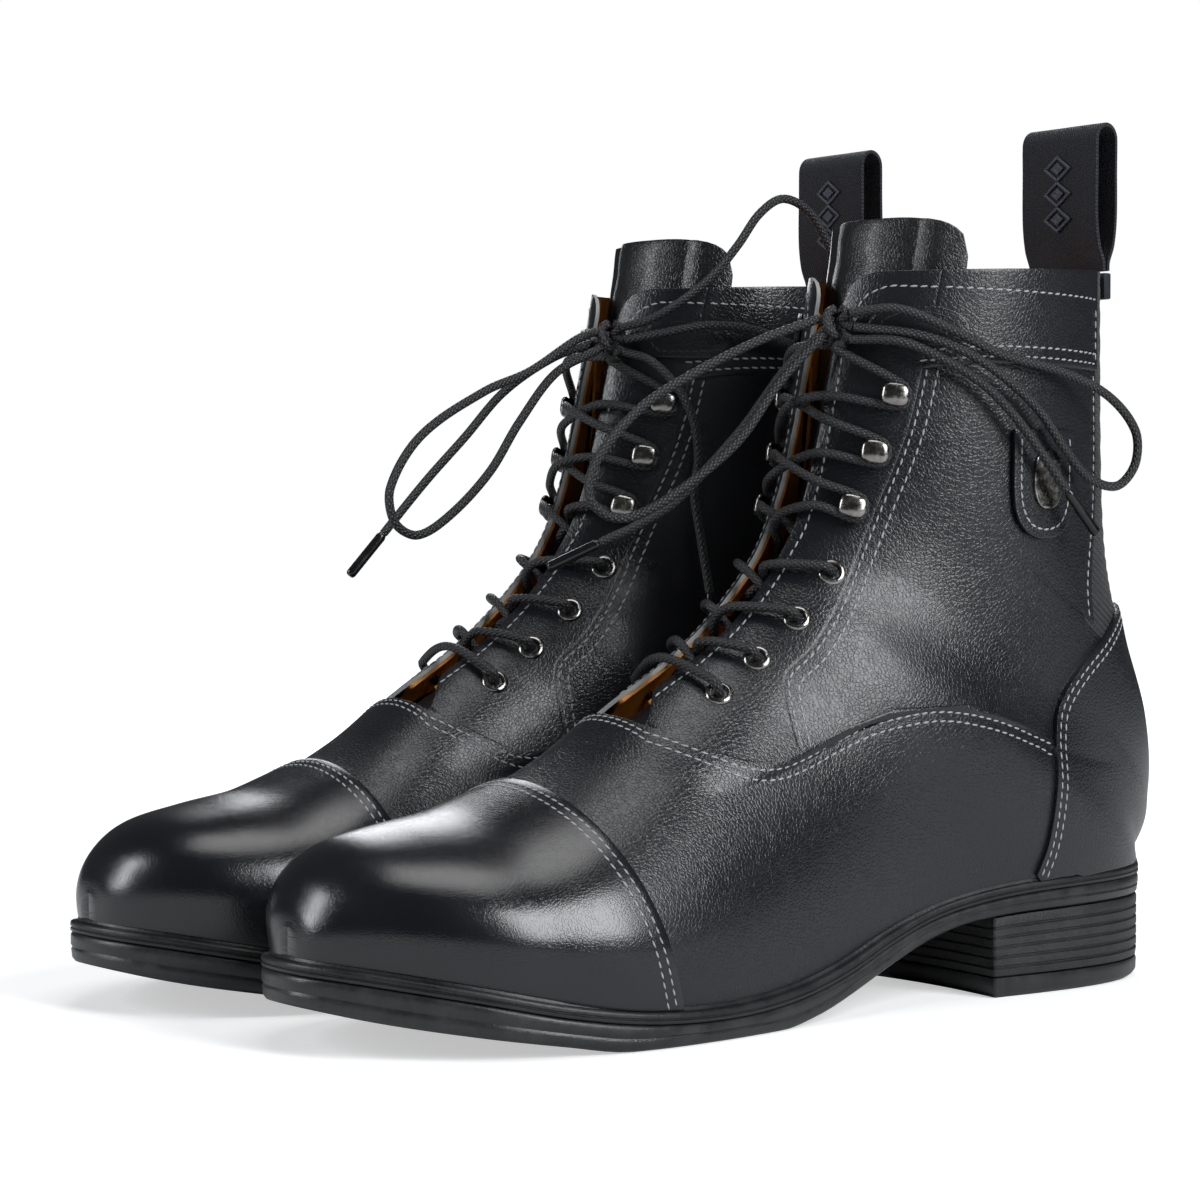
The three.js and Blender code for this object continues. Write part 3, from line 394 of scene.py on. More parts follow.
def makeGrain():  # leather: pebbles parted by fine creases, pores and soft folds
    group, given, out = newGroup(
        "leatherGrain",
        [("Vector", "NodeSocketVector", None), ("Size", "NodeSocketFloat", 900.0),
         ("Folds", "NodeSocketFloat", 0.4)],
        [("Height", "NodeSocketFloat"), ("Tone", "NodeSocketFloat")],
    )
    at, size = given.outputs["Vector"], given.outputs["Size"]
    warp = node(group, "ShaderNodeTexNoise", [(at, "Vector")], in_Scale=260.0, in_Detail=2.0)
    bent = node(group, "ShaderNodeVectorMath", [(warp.outputs["Color"], 0)],
                operation="SCALE", in_Scale=0.0014)
    moved = node(group, "ShaderNodeVectorMath", [(at, 0), (bent.outputs[0], 1)], operation="ADD")
    cells = node(group, "ShaderNodeTexVoronoi", [(moved.outputs[0], "Vector"), (size, "Scale")],
                 feature="DISTANCE_TO_EDGE")
    pebbles = remap(group, cells.outputs["Distance"], 0.0, 0.22, 0.0, 1.0)
    pores = node(group, "ShaderNodeTexNoise", [(moved.outputs[0], "Vector")], in_Scale=2600.0, in_Detail=2.0)
    folds = node(group, "ShaderNodeTexNoise", [(at, "Vector")],
                 in_Scale=70.0, in_Detail=4.0, in_Roughness=0.62)
    foldHeight = maths(group, "MULTIPLY", folds.outputs["Fac"], given.outputs["Folds"])
    height = maths(group, "MULTIPLY_ADD", pores.outputs["Fac"], 0.35, maths(group, "MULTIPLY", pebbles, 0.5))
    group.links.new(maths(group, "ADD", height, foldHeight), out.inputs["Height"])
    tone = node(group, "ShaderNodeTexNoise", [(at, "Vector")],
                in_Scale=28.0, in_Detail=5.0, in_Roughness=0.55)
    group.links.new(tone.outputs["Fac"], out.inputs["Tone"])
    return group


def makeWeave():  # diagonal ribs crossed by fine threads, on the piece's own UV map in millimetres
    group, given, out = newGroup(
        "twillWeave",
        [("Vector", "NodeSocketVector", None), ("Rib", "NodeSocketFloat", 1.3),
         ("Slope", "NodeSocketFloat", 0.7)],
        [("Height", "NodeSocketFloat"), ("ThreadToneAndShade", "NodeSocketFloat")],
    )
    parts = node(group, "ShaderNodeSeparateXYZ", [(given.outputs["Vector"], 0)])
    slanted = maths(group, "MULTIPLY_ADD", parts.outputs[1], given.outputs["Slope"], parts.outputs[0])
    phase = maths(group, "DIVIDE", slanted, given.outputs["Rib"])
    wave = maths(group, "SINE", maths(group, "MULTIPLY", phase, 2 * math.pi))
    cross = maths(group, "SINE", maths(group, "MULTIPLY", parts.outputs[1], 2 * math.pi / 0.55))
    rib = maths(group, "MULTIPLY_ADD", wave, 0.5, 0.5)
    group.links.new(maths(group, "MULTIPLY_ADD", cross, 0.14, rib), out.inputs["Height"])
    fuzz = node(group, "ShaderNodeTexNoise", [(given.outputs["Vector"], "Vector")],
                in_Scale=1.7, in_Detail=4.0)
    # colour mask: random thread tone times the rib height, so the troughs between the ribs carry painted
    # shade
    group.links.new(maths(group, "MULTIPLY", rib, fuzz.outputs["Fac"]), out.inputs["ThreadToneAndShade"])
    return group


def makeBraid():  # round braid: two sets of strands that cross, on a UV map round and along the cord
    group, given, out = newGroup(
        "roundBraid",
        [("Vector", "NodeSocketVector", None), ("Strands", "NodeSocketFloat", 6.0),
         ("Pitch", "NodeSocketFloat", 1.9)],
        [("Height", "NodeSocketFloat"), ("StrandToneAndShade", "NodeSocketFloat")],
    )
    parts = node(group, "ShaderNodeSeparateXYZ", [(given.outputs["Vector"], 0)])
    around = maths(group, "MULTIPLY", parts.outputs[0], given.outputs["Strands"])
    along = maths(group, "DIVIDE", parts.outputs[1], given.outputs["Pitch"])
    left = maths(group, "SINE", maths(group, "MULTIPLY", maths(group, "ADD", around, along), math.pi))
    right = maths(group, "SINE", maths(group, "MULTIPLY", maths(group, "SUBTRACT", around, along), math.pi))
    knots = maths(group, "MULTIPLY", maths(group, "ABSOLUTE", left), maths(group, "ABSOLUTE", right))
    group.links.new(knots, out.inputs["Height"])
    wax = node(group, "ShaderNodeTexNoise", [(given.outputs["Vector"], "Vector")],
               in_Scale=2.4, in_Detail=3.0)
    # colour mask: random wax tone times the braid height, so the dips between the strands carry painted shade
    group.links.new(maths(group, "MULTIPLY", knots, wax.outputs["Fac"]), out.inputs["StrandToneAndShade"])
    return group


def makeScuff():  # dust and fine scratches for rubber, metal and plastic
    group, given, out = newGroup(
        "scuffs",
        [("Vector", "NodeSocketVector", None), ("Size", "NodeSocketFloat", 120.0)],
        [("Dust", "NodeSocketFloat"), ("Height", "NodeSocketFloat")],
    )
    dust = node(group, "ShaderNodeTexNoise", [(given.outputs[0], "Vector"), (given.outputs[1], "Scale")],
                in_Detail=6.0, in_Roughness=0.7)
    group.links.new(remap(group, dust.outputs["Fac"], 0.42, 0.7, 0.0, 1.0), out.inputs["Dust"])
    fine = node(group, "ShaderNodeTexNoise", [(given.outputs[0], "Vector")], in_Scale=1500.0, in_Detail=3.0)
    group.links.new(fine.outputs["Fac"], out.inputs["Height"])
    return group


grain, weave, braid, scuff = makeGrain(), makeWeave(), makeBraid(), makeScuff()


def startMaterial(name, color, roughness, metallic=0.0, coat=0.0, sheen=0.0, specular=0.5):
    material = bpy.data.materials.new(name)
    material.use_nodes = True
    shader = material.node_tree.nodes["Principled BSDF"]
    shader.inputs["Base Color"].default_value = (*color, 1)
    shader.inputs["Roughness"].default_value = roughness
    shader.inputs["Metallic"].default_value = metallic
    shader.inputs["Coat Weight"].default_value = coat
    shader.inputs["Coat Roughness"].default_value = 0.22
    shader.inputs["Sheen Weight"].default_value = sheen
    shader.inputs["Specular IOR Level"].default_value = specular
    return material, material.node_tree, shader


def patternOn(tree, group, coordinates, **values):
    where = tree.nodes.new("ShaderNodeTexCoord").outputs[coordinates]
    made = node(tree, "ShaderNodeGroup", node_tree=group)
    tree.links.new(where, made.inputs["Vector"])
    for key, value in values.items():
        made.inputs[key].default_value = value
    return made, where


def addBump(tree, shader, height, distance, strength=1.0):
    bump = node(tree, "ShaderNodeBump", [(height, "Height")], in_Distance=distance, in_Strength=strength)
    tree.links.new(bump.outputs[0], shader.inputs["Normal"])


def addColor(tree, shader, mask, low, high):
    mix = node(tree, "ShaderNodeMix", [(mask, 0)], data_type="RGBA")
    mix.inputs[6].default_value = (*low, 1)
    mix.inputs[7].default_value = (*high, 1)
    tree.links.new(mix.outputs[2], shader.inputs["Base Color"])


def leatherFinish(name, low, high, roughness, size, folds, depth, coat):
    material, tree, shader = startMaterial(name, low, roughness, coat=coat)
    made, _ = patternOn(tree, grain, "Object", Size=size, Folds=folds)
    addColor(tree, shader, made.outputs["Tone"], low, high)
    tree.links.new(remap(tree, made.outputs["Tone"], 0.3, 0.7, roughness - 0.05, roughness + 0.07),
                   shader.inputs["Roughness"])
    addBump(tree, shader, made.outputs["Height"], depth)
    return material


def wovenFinish(name, low, high, rib, slope, depth, roughness, sheen):
    material, tree, shader = startMaterial(name, low, roughness, sheen=sheen, specular=0.3)
    made, _ = patternOn(tree, weave, "UV", Rib=rib, Slope=slope)
    # the colour follows the rib height too: darker in the troughs as painted shade, plus random thread tone
    addColor(tree, shader, made.outputs["ThreadToneAndShade"], low, high)
    addBump(tree, shader, made.outputs["Height"], depth)
    return material


def rubberFinish(name, low, high, roughness, depth):
    material, tree, shader = startMaterial(name, low, roughness)
    made, _ = patternOn(tree, scuff, "Object", Size=90.0)
    addColor(tree, shader, made.outputs["Dust"], low, high)
    tree.links.new(remap(tree, made.outputs["Dust"], 0.0, 1.0, roughness - 0.08, roughness + 0.1),
                   shader.inputs["Roughness"])
    addBump(tree, shader, made.outputs["Height"], depth)
    return material


def metalFinish(name, low, high, roughness):
    material, tree, shader = startMaterial(name, low, roughness, metallic=1.0)
    made, _ = patternOn(tree, scuff, "Object", Size=420.0)
    addColor(tree, shader, made.outputs["Dust"], low, high)
    tree.links.new(remap(tree, made.outputs["Dust"], 0.0, 1.0, roughness, roughness + 0.22),
                   shader.inputs["Roughness"])
    addBump(tree, shader, made.outputs["Height"], 0.00003)
    return material


def laceFinish():
    material, tree, shader = startMaterial("waxedLace", (0.008, 0.008, 0.009), 0.42, specular=0.6)
    made, _ = patternOn(tree, braid, "UV")
    # the lace is darker in the dips between strands (painted shade) and varies at random in tone
    addColor(tree, shader, made.outputs["StrandToneAndShade"], (0.003, 0.003, 0.0035), (0.055, 0.055, 0.058))
    tree.links.new(remap(tree, made.outputs["Height"], 0.0, 1.0, 0.62, 0.34), shader.inputs["Roughness"])
    addBump(tree, shader, made.outputs["Height"], 0.00028)
    return material


finishes = {
    "black_leather": leatherFinish("blackLeather", (0.0065, 0.0072, 0.0092), (0.0115, 0.0125, 0.0155),
                                   0.28, 820.0, 0.5, 0.00010, 0.15),
    "cap_leather": leatherFinish("capLeather", (0.005, 0.0055, 0.0075), (0.009, 0.010, 0.013),
                                 0.2, 1100.0, 0.12, 0.00004, 0.35),
    "padded_leather": leatherFinish("tongueLeather", (0.0065, 0.007, 0.0085), (0.012, 0.0125, 0.014),
                                    0.3, 900.0, 0.9, 0.00014, 0.15),
    "orange_lining": leatherFinish("orangeLining", (0.5, 0.17, 0.014), (0.68, 0.27, 0.03),
                                   0.62, 1300.0, 0.3, 0.00008, 0.0),
    "raw_edge": leatherFinish("rawEdge", (0.22, 0.22, 0.22), (0.42, 0.42, 0.41),
                              0.8, 2200.0, 0.6, 0.0001, 0.0),
    "footbed": leatherFinish("footbed", (0.36, 0.2, 0.07), (0.5, 0.3, 0.12), 0.7, 1300.0, 0.3, 0.00008, 0.0),
    "elastic": wovenFinish("elastic", (0.006, 0.006, 0.007), (0.05, 0.05, 0.053),
                           1.5, 0.75, 0.0004, 0.7, 0.15),
    "webbing": wovenFinish("webbing", (0.004, 0.0045, 0.007), (0.035, 0.038, 0.055),
                           1.0, 0.8, 0.00022, 0.62, 0.12),
    "woven_mark": wovenFinish("wovenMark", (0.06, 0.07, 0.1), (0.34, 0.38, 0.48),
                              0.9, -0.8, 0.0002, 0.6, 0.1),
    "rubber": rubberFinish("soleRubber", (0.018, 0.019, 0.02), (0.036, 0.037, 0.038), 0.38, 0.00008),
    "welt_rubber": rubberFinish("weltRubber", (0.010, 0.0105, 0.0115), (0.022, 0.023, 0.024), 0.42, 0.00014),
    "heel_stack": rubberFinish("heelStack", (0.017, 0.0175, 0.018), (0.034, 0.035, 0.035), 0.5, 0.0003),
    "antique_silver": metalFinish("antiqueSilver", (0.24, 0.23, 0.215), (0.42, 0.4, 0.37), 0.16),
    "waxed_lace": laceFinish(),
    "thread": wovenFinish("thread", (0.3, 0.31, 0.32), (0.64, 0.65, 0.66), 0.6, 0.5, 0.0001, 0.55, 0.1),
    "black_thread": wovenFinish("blackThread", (0.01, 0.01, 0.011), (0.05, 0.05, 0.05),
                                0.6, 0.5, 0.0001, 0.5, 0.1),
    "aglet": rubberFinish("aglet", (0.006, 0.006, 0.0065), (0.012, 0.012, 0.013), 0.2, 0.00001),
}
print("finishes made")

# ---- making pieces

collection = bpy.context.scene.collection


def toStand(hand, mirrored=True):
    x, y = stand[hand]
    turn = hand if mirrored else 1
    place = Matrix.Translation((x, y, 0)) @ Matrix.Scale(0.001, 4)
    return place @ Matrix.Diagonal((turn, 1, 1, 1))


def standPoint(hand, point, mirrored=True):
    return tuple(toStand(hand, mirrored) @ Vector(point))


def finishMesh(bm, name, materials, sharp=40.0):
    mesh = bpy.data.meshes.new(name)
    for face in bm.faces:
        face.smooth = True
    bm.to_mesh(mesh)
    for material in materials:
        mesh.materials.append(finishes[material])
    mesh.set_sharp_from_angle(angle=math.radians(sharp))
    return mesh


def putPiece(mesh, name, body, nodes=()):
    piece = bpy.data.objects.new(name, mesh)
    collection.objects.link(piece)
    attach(piece, body)
    if nodes:
        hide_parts(*nodes)
    return piece


def onBothBoots(bm, label, materials, part=None, body="boot", sharp=40.0):
    made = []
    shape = finishMesh(bm, label, materials, sharp)
    bm.free()
    for hand, name in hands.items():
        mesh = shape.copy()
        mesh.transform(toStand(hand))
        if hand < 0:
            mesh.flip_normals()
        mesh.name = f"{name}_{label}"
        nodes = [f"{name}_{part}"] if part else []
        made.append(putPiece(mesh, f"{name}_{label}", f"{name}_{body}", nodes))
    return made


def gridOf(bm, across, along, place, uv=None):  # a grid whose corners go where place(a, b) says
    made = bmesh.ops.create_grid(bm, x_segments=across, y_segments=along, size=1)["verts"]
    layer = bm.loops.layers.uv.verify()
    spots = {}
    for vert in made:
        a, b = (vert.co.x + 1) / 2, (vert.co.y + 1) / 2
        spots[vert] = (a, b)
    for vert, (a, b) in spots.items():
        vert.co = place(a, b)
    if uv:
        for face in {face for vert in made for face in vert.link_faces}:
            for loop in face.loops:
                if loop.vert in spots:
                    loop[layer].uv = uv(*spots[loop.vert])
    return made


def thicken(bm, thickness, rim=0.35, edgeMaterial=0):  # gives a sheet its wall and softens its cut edge
    bmesh.ops.remove_doubles(bm, verts=bm.verts[:], dist=0.01)
    bm.normal_update()
    faces = bm.faces[:]
    made = bmesh.ops.extrude_face_region(bm, geom=faces, use_keep_orig=True)["geom"]
    outer = [item for item in made if isinstance(item, bmesh.types.BMVert)]
    outerFaces = {item for item in made if isinstance(item, bmesh.types.BMFace)}
    bm.normal_update()
    normals = {
        vert: sum((face.normal for face in vert.link_faces if face in outerFaces), Vector()).normalized()
        for vert in outer
    }
    for vert, normal in normals.items():
        vert.co += normal * thickness
    for face in faces:
        face.normal_flip()
    walls = [face for face in bm.faces if face not in outerFaces and face not in set(faces)]
    for face in walls:
        face.material_index = edgeMaterial
    bmesh.ops.recalc_face_normals(bm, faces=bm.faces[:])
    if rim:
        edges = [edge for edge in bm.edges if len(edge.link_faces) == 2 and edge.calc_face_angle() > 0.9
                 and any(face in outerFaces for face in edge.link_faces)]
        bmesh.ops.bevel(bm, geom=edges, offset=rim, offset_type="OFFSET", segments=2, profile=0.5,
                        affect="EDGES", material=-1, clamp_overlap=True)


def panel(sheets, lift, thickness, rim=0.35, edgeMaterial=0):  # sheets of (across, along, place) on the last
    bm = bmesh.new()
    for across, along, place in sheets:
        def spot(a, b):
            s, u = place(a, b)
            point = Vector(onLast(s, u, lift(s, u) if callable(lift) else lift))
            if s < 0.015:  # the two halves of the toe meet in one line
                point.x = -1
            return point
        gridOf(bm, across, along, spot, lambda a, b: uvOf(*place(a, b)))
    alignOut(bm)
    thicken(bm, thickness, rim, edgeMaterial)
    return bm


def uvOf(s, u):  # about millimetres across and up
    point = lastPoint(s, u)
    return (point[1] * 0.7 + point[0] * 0.7, point[2])


def alignOut(bm):  # turns every sheet's faces away from the last
    bm.normal_update()
    for face in bm.faces:
        middle = face.calc_center_median()
        along = clamp(middle.y, -240, -30) if middle.z < 110 else -62
        core = Vector((0, along, min(middle.z * 0.6 + 10, 200)))
        if face.normal.dot(middle - core) < 0:
            face.normal_flip()


def wings(across, along, sections, start, end):  # the same sheet on the outer and the inner side
    low, high = sections

    def outerSide(a, b):
        s = low + (high - low) * b
        return s, start(s) + (end(s) - start(s)) * a

    def innerSide(a, b):
        s, u = outerSide(a, b)
        return s, -u
    return [(across, along, outerSide), (across, along, innerSide)]


# ---- uppers

upper = {
    "leather": 1.3, "quarter": 0.9, "vampLift": 1.0, "facingLift": 0.1, "quarterLift": 0.1,
    "counterLift": 1.1, "collarLift": 0.9, "collar": 0.8, "gap": 12.0, "corner": 9.0,
}


def facingEdge(s):  # the front edges part towards the foot of the opening
    return reachAt(s, upper["gap"] / 2 + 9 * (1 - ease((s - 7.55) / 0.75)))


def vampHeight(s, u):  # it rises over the quarters, and sinks under the cap and the counter
    free = 1 - ease((abs(u) - vampRear + 0.05) / 0.05)
    return 0.1 + upper["vampLift"] * ease(1 - (vampTop(u) - s) / 0.9) * free - 0.1 * ease((6.3 - s) / 0.4)


def makeVamp():
    def place(a, b):
        u = -1 + 2 * a
        front = capSeam(u) - 0.45
        return front + (vampTop(u) - front) * b, u

    bm = panel([(150, 64, place)], vampHeight, upper["leather"])
    onBothBoots(bm, "vamp_leather", ["black_leather"], "vamp")


def makeCap():
    def place(a, b):
        u = -1 + 2 * a
        return 0.01 + (capSeam(u) - 0.01) * b**1.35, u
    bm = panel([(120, 70, place)], lambda s, u: 0.15 + 1.15 * ease((s - 4.6) / 1.1), 1.5)
    onBothBoots(bm, "toe_cap_leather", ["cap_leather"], "toe_cap")


def makeQuarters():
    start = fromSide(-150, 77)[0]
    turnBack = vampReach(start) + 0.1
    heelReach = counterReach(vampEnd) + 0.08

    def back(s):  # it runs on under the vamp and the counter
        if s < vampEnd:
            return turnBack + (heelReach - turnBack) * clamp((s - start) / (vampEnd - start))**0.7
        return counterReach(s) + 0.08 if s < gussetFoot + 0.1 else gussetReach(s)

    def lift(s, u):
        under = (u if u > 0 else -u) - (vampReach(s) if s < vampEnd else counterReach(s))
        hidden = ease((under - 0.025) / 0.05) if s < gussetFoot + 0.1 else 0.0
        return upper["quarterLift"] - 1.3 * hidden
    sheets = wings(70, 90, (start, topSection - 0.02), lambda s: facingReach(s) - 0.02, back)
    for sheet, side in zip(sheets, ("outer", "inner")):
        bm = panel([sheet], lift, upper["quarter"])
        onBothBoots(bm, f"{side}_quarter_leather", ["black_leather"], f"{side}_quarter")


def makeFacings():
    start = 7.62

    def back(s):
        return vampReach(s) + 0.07 if s < fromSide(-150, 77)[0] else facingReach(s)

    def front(s):
        inset = upper["corner"] * (1 - math.sqrt(1 - clamp((s - topSection + 0.36) / 0.36)**2))
        return facingEdge(s) if s < 16 else reachAt(s, upper["gap"] / 2 + inset)
    sheets = wings(26, 130, (start, topSection), front, lambda s: max(back(s), front(s) + 0.05))
    linings = wings(20, 80, (8.0, topSection - 0.4), lambda s: reachAt(s, upper["gap"] / 2 + 1.2),
                    lambda s: reachAt(s, upper["gap"] / 2 + 19))
    for sheet, lining, side in zip(sheets, linings, ("outer", "inner")):
        bm = panel([sheet], upper["facingLift"], upper["leather"], 0.3, 1)
        onBothBoots(bm, f"{side}_facing_leather", ["black_leather", "raw_edge"], f"{side}_facing")
        bm = panel([lining], -1.0, 1.1, 0.2)
        onBothBoots(bm, f"{side}_facing_lining", ["orange_lining"])


def makeCounter():
    sheets = wings(46, 84, (counterFoot, counterTop - 0.05), lambda s: min(counterReach(s), 1), lambda s: 1.0)

    def lift(s, u):
        return upper["counterLift"] - 0.9 * ease((abs(u) - counterReach(s) - 0.12) / 0.2)
    bm = panel(sheets, lift, 1.5)
    onBothBoots(bm, "heel_counter_leather", ["black_leather"], "heel_counter")


def makeGusset():
    sheets = wings(30, 84, (gussetFoot - 0.2, topSection), lambda s: gussetReach(s) - 0.03, lambda s: 1.0)
    ripple = lambda s, u: -0.3 + 0.12 * math.sin(s * 60)
    bm = panel(sheets, ripple, 1.2, 0.2)
    onBothBoots(bm, "rear_gusset_elastic", ["elastic"], "rear_gusset")


def makeCollar():  # the band round the top
    foot = [s for s, u in seamOf(collarLine)]

    def outer(a, b):
        low = float(np.interp(a * (len(foot) - 1), range(len(foot)), foot))
        s = low + (topSection - low) * b
        return s, facingReach(s) + (gussetReach(s) - facingReach(s)) * a

    def inner(a, b):
        s, u = outer(a, b)
        return s, -u
    bm = panel([(70, 22, outer), (70, 22, inner)], upper["collarLift"], upper["collar"], 0.3)
    onBothBoots(bm, "collar_leather", ["black_leather"])


def makeLining():
    sheets = wings(50, 90, (8.6, topSection - 0.02), lambda s: reachAt(s, upper["gap"] / 2 + 19),
                   lambda s: 1.0)
    bm = panel(sheets, lambda s, u: -3.2 + 2.0 * ease((s - 15.6) / 1.2), 1.0, 0.2)
    onBothBoots(bm, "lining_leather", ["orange_lining"], "lining")


def makeTongue():
    wide = lambda s: 0.13 + 0.022 * (s - 7.6)

    def place(a, b):
        share = 2 * a - 1
        s = 7.3 + (topSection + 0.15 - 7.3) * min(b / 0.92, 1)
        if b > 0.92:
            s += 0.68 * (b - 0.92) / 0.08 * math.sqrt(max(1 - share**4, 0))
        return s, wide(min(s, 17)) * share
    rows = {"depth": 9.9, "puff": 3.9}

    def lift(s, u):  # its sides lie up against the facings, and its top is softly creased
        share = clamp(abs(u) / wide(min(s, 17)))
        rise = 3.1 * ease((abs(acrossOf((min(s, 18), u))) - 23.5) / 4)
        return rise - rows["depth"] + 0.35 * math.sin(s * 9) * ease((s - 15) / 1.5) * (1 - share)
    bm = panel([(36, 110, place)], lift, rows["puff"], 1.1)
    pieces = onBothBoots(bm, "tongue_leather", ["padded_leather"], "tongue", "tongue")
    bm = panel([(36, 110, place)], lambda s, u: lift(s, u) - 0.9, 0.8, 0.2)
    onBothBoots(bm, "tongue_lining", ["orange_lining"], None, "tongue")


def makeUppers():
    makeVamp()
    makeCap()
    makeQuarters()
    makeFacings()
    makeCounter()
    makeGusset()
    makeCollar()
    makeLining()
    makeTongue()
    print("uppers made")


# ---- patches: badge and lace keepers

def sidePatch(rows, side, lift, thickness, across, along):  # rows of [z, back y, front y] seen from the side
    rows = sorted(rows)

    def place(a, b):
        z = rows[0][0] + (rows[-1][0] - rows[0][0]) * b
        back, front = smooth(rows, z)
        s, u = fromSide(back + (front - back) * a, z, side < 0)
        return s, side * u
    return panel([(across, along, place)], lift, thickness, 0.4)


patches = {
    "badge": [
        [171, -48, -72], [165, -48, -72], [158, -48, -72], [151, -48.3, -71.7], [146, -49.2, -70.8],
        [142, -51.4, -68.6], [139.4, -54.6, -65.4], [138.4, -58, -62],
    ],
    "plate": [
        [165, -58.4, -61.6], [164, -56.6, -63.4], [161.5, -55.2, -64.8], [157, -54.6, -65.4], [152, -55, -65],
        [148.6, -56.6, -63.4], [147.4, -58.4, -61.6],
    ],
    "keeper": [
        [207, -94, -102], [205.6, -90, -105.5], [203, -87, -107.6], [199.5, -86, -108.6], [197, -88, -108],
        [195.4, -92, -106],
    ],
}


def makePatches():
    bm = sidePatch(patches["badge"], 1, 1.9, 1.2, 26, 34)
    onBothBoots(bm, "badge_patch_leather", ["black_leather"], "badge_patch")
    bm = sidePatch(patches["plate"], 1, 3.2, 0.9, 16, 22)
    onBothBoots(bm, "badge_plate_metal", ["antique_silver"], "badge_plate")
    for side, label in ((1, "outer"), (-1, "inner")):
        bm = sidePatch(patches["keeper"], side, 2.0, 1.1, 26, 16)
        onBothBoots(bm, f"{label}_keeper_leather", ["black_leather"], f"{label}_lace_keeper")
    print("patches made")


# ---- stitches

stitch = {"pitch": 3.0, "length": 2.35, "width": 0.62, "height": 0.42, "around": 6, "rings": 4}


def stitchShape():
    bm = bmesh.new()
    bmesh.ops.create_uvsphere(bm, u_segments=stitch["around"], v_segments=stitch["rings"], radius=0.5,
                              matrix=Matrix.Rotation(math.pi / 2, 4, "Y"))
    bmesh.ops.scale(bm, vec=(stitch["length"], stitch["width"], stitch["height"]), verts=bm.verts[:])
    mesh = bpy.data.meshes.new("stitch")
    bm.to_mesh(mesh)
    bm.free()
    return mesh


oneStitch = stitchShape()


def sewAlong(bm, places, lift, pitch=None):  # a row of stitches along places on the last
    points = [onLast(s, u, lift(s, u) if callable(lift) else lift) for s, u in places]
    normals = [lastNormal(s, u) for s, u in places]
    along = [0.0]
    for a, b in zip(points, points[1:]):
        along.append(along[-1] + float(np.linalg.norm(b - a)))
    count = max(int(along[-1] / (pitch or stitch["pitch"])), 1)
    step = along[-1] / count
    rows = np.array(points)
    ups = np.array(normals)
    for k in range(count):
        at = (k + 0.5) * step
        middle = Vector([np.interp(at, along, rows[:, i]) for i in range(3)])
        ahead = Vector([np.interp(at + 1, along, rows[:, i]) for i in range(3)])
        behind = Vector([np.interp(at - 1, along, rows[:, i]) for i in range(3)])
        up = Vector([np.interp(at, along, ups[:, i]) for i in range(3)]).normalized()
        forward = (ahead - behind).normalized()
        side = up.cross(forward).normalized()
        slant = Matrix.Rotation(0.12, 4, "Z")
        turn = Matrix((forward, side, forward.cross(side))).transposed().to_4x4()
        place = Matrix.Translation(middle) @ turn @ slant
        copy = oneStitch.copy()
        copy.transform(place)
        bm.from_mesh(copy)
        bpy.data.meshes.remove(copy)


def shifted(places, distance):  # a line beside another, at a distance across it on the surface
    moved = []
    points = [lastPoint(s, u) for s, u in places]
    for k, (s, u) in enumerate(places):
        before, after = points[max(k - 1, 0)], points[min(k + 1, len(points) - 1)]
        along = (after - before) / max(np.linalg.norm(after - before), 1e-6)
        aside = np.cross(lastNormal(s, u), along)
        stepS = (lastPoint(min(s + 0.02, 18), u) - lastPoint(max(s - 0.02, 0), u)) / 0.04
        stepU = (lastPoint(s, min(u + 0.01, 1)) - lastPoint(s, max(u - 0.01, -1))) / 0.02
        grid = np.array(((stepS @ stepS, stepS @ stepU), (stepS @ stepU, stepU @ stepU)))
        ds, du = np.linalg.solve(grid, np.array((stepS @ aside, stepU @ aside)) * distance)
        moved.append((clamp(s + ds, 0, 17.6), clamp(u + du, -1, 1)))
    return moved


def otherSide(places):
    return [(s, -u) for s, u in places]


def sideRow(points, distance):  # places beside a seam that is drawn in the side view
    line = throughPoints(points, 2.0)
    row = []
    for k, point in enumerate(line):
        along = line[min(k + 1, len(line) - 1)] - line[max(k - 1, 0)]
        along = along / np.linalg.norm(along)
        row.append(fromSide(point[0] - along[1] * distance, point[1] + along[0] * distance))
    return row


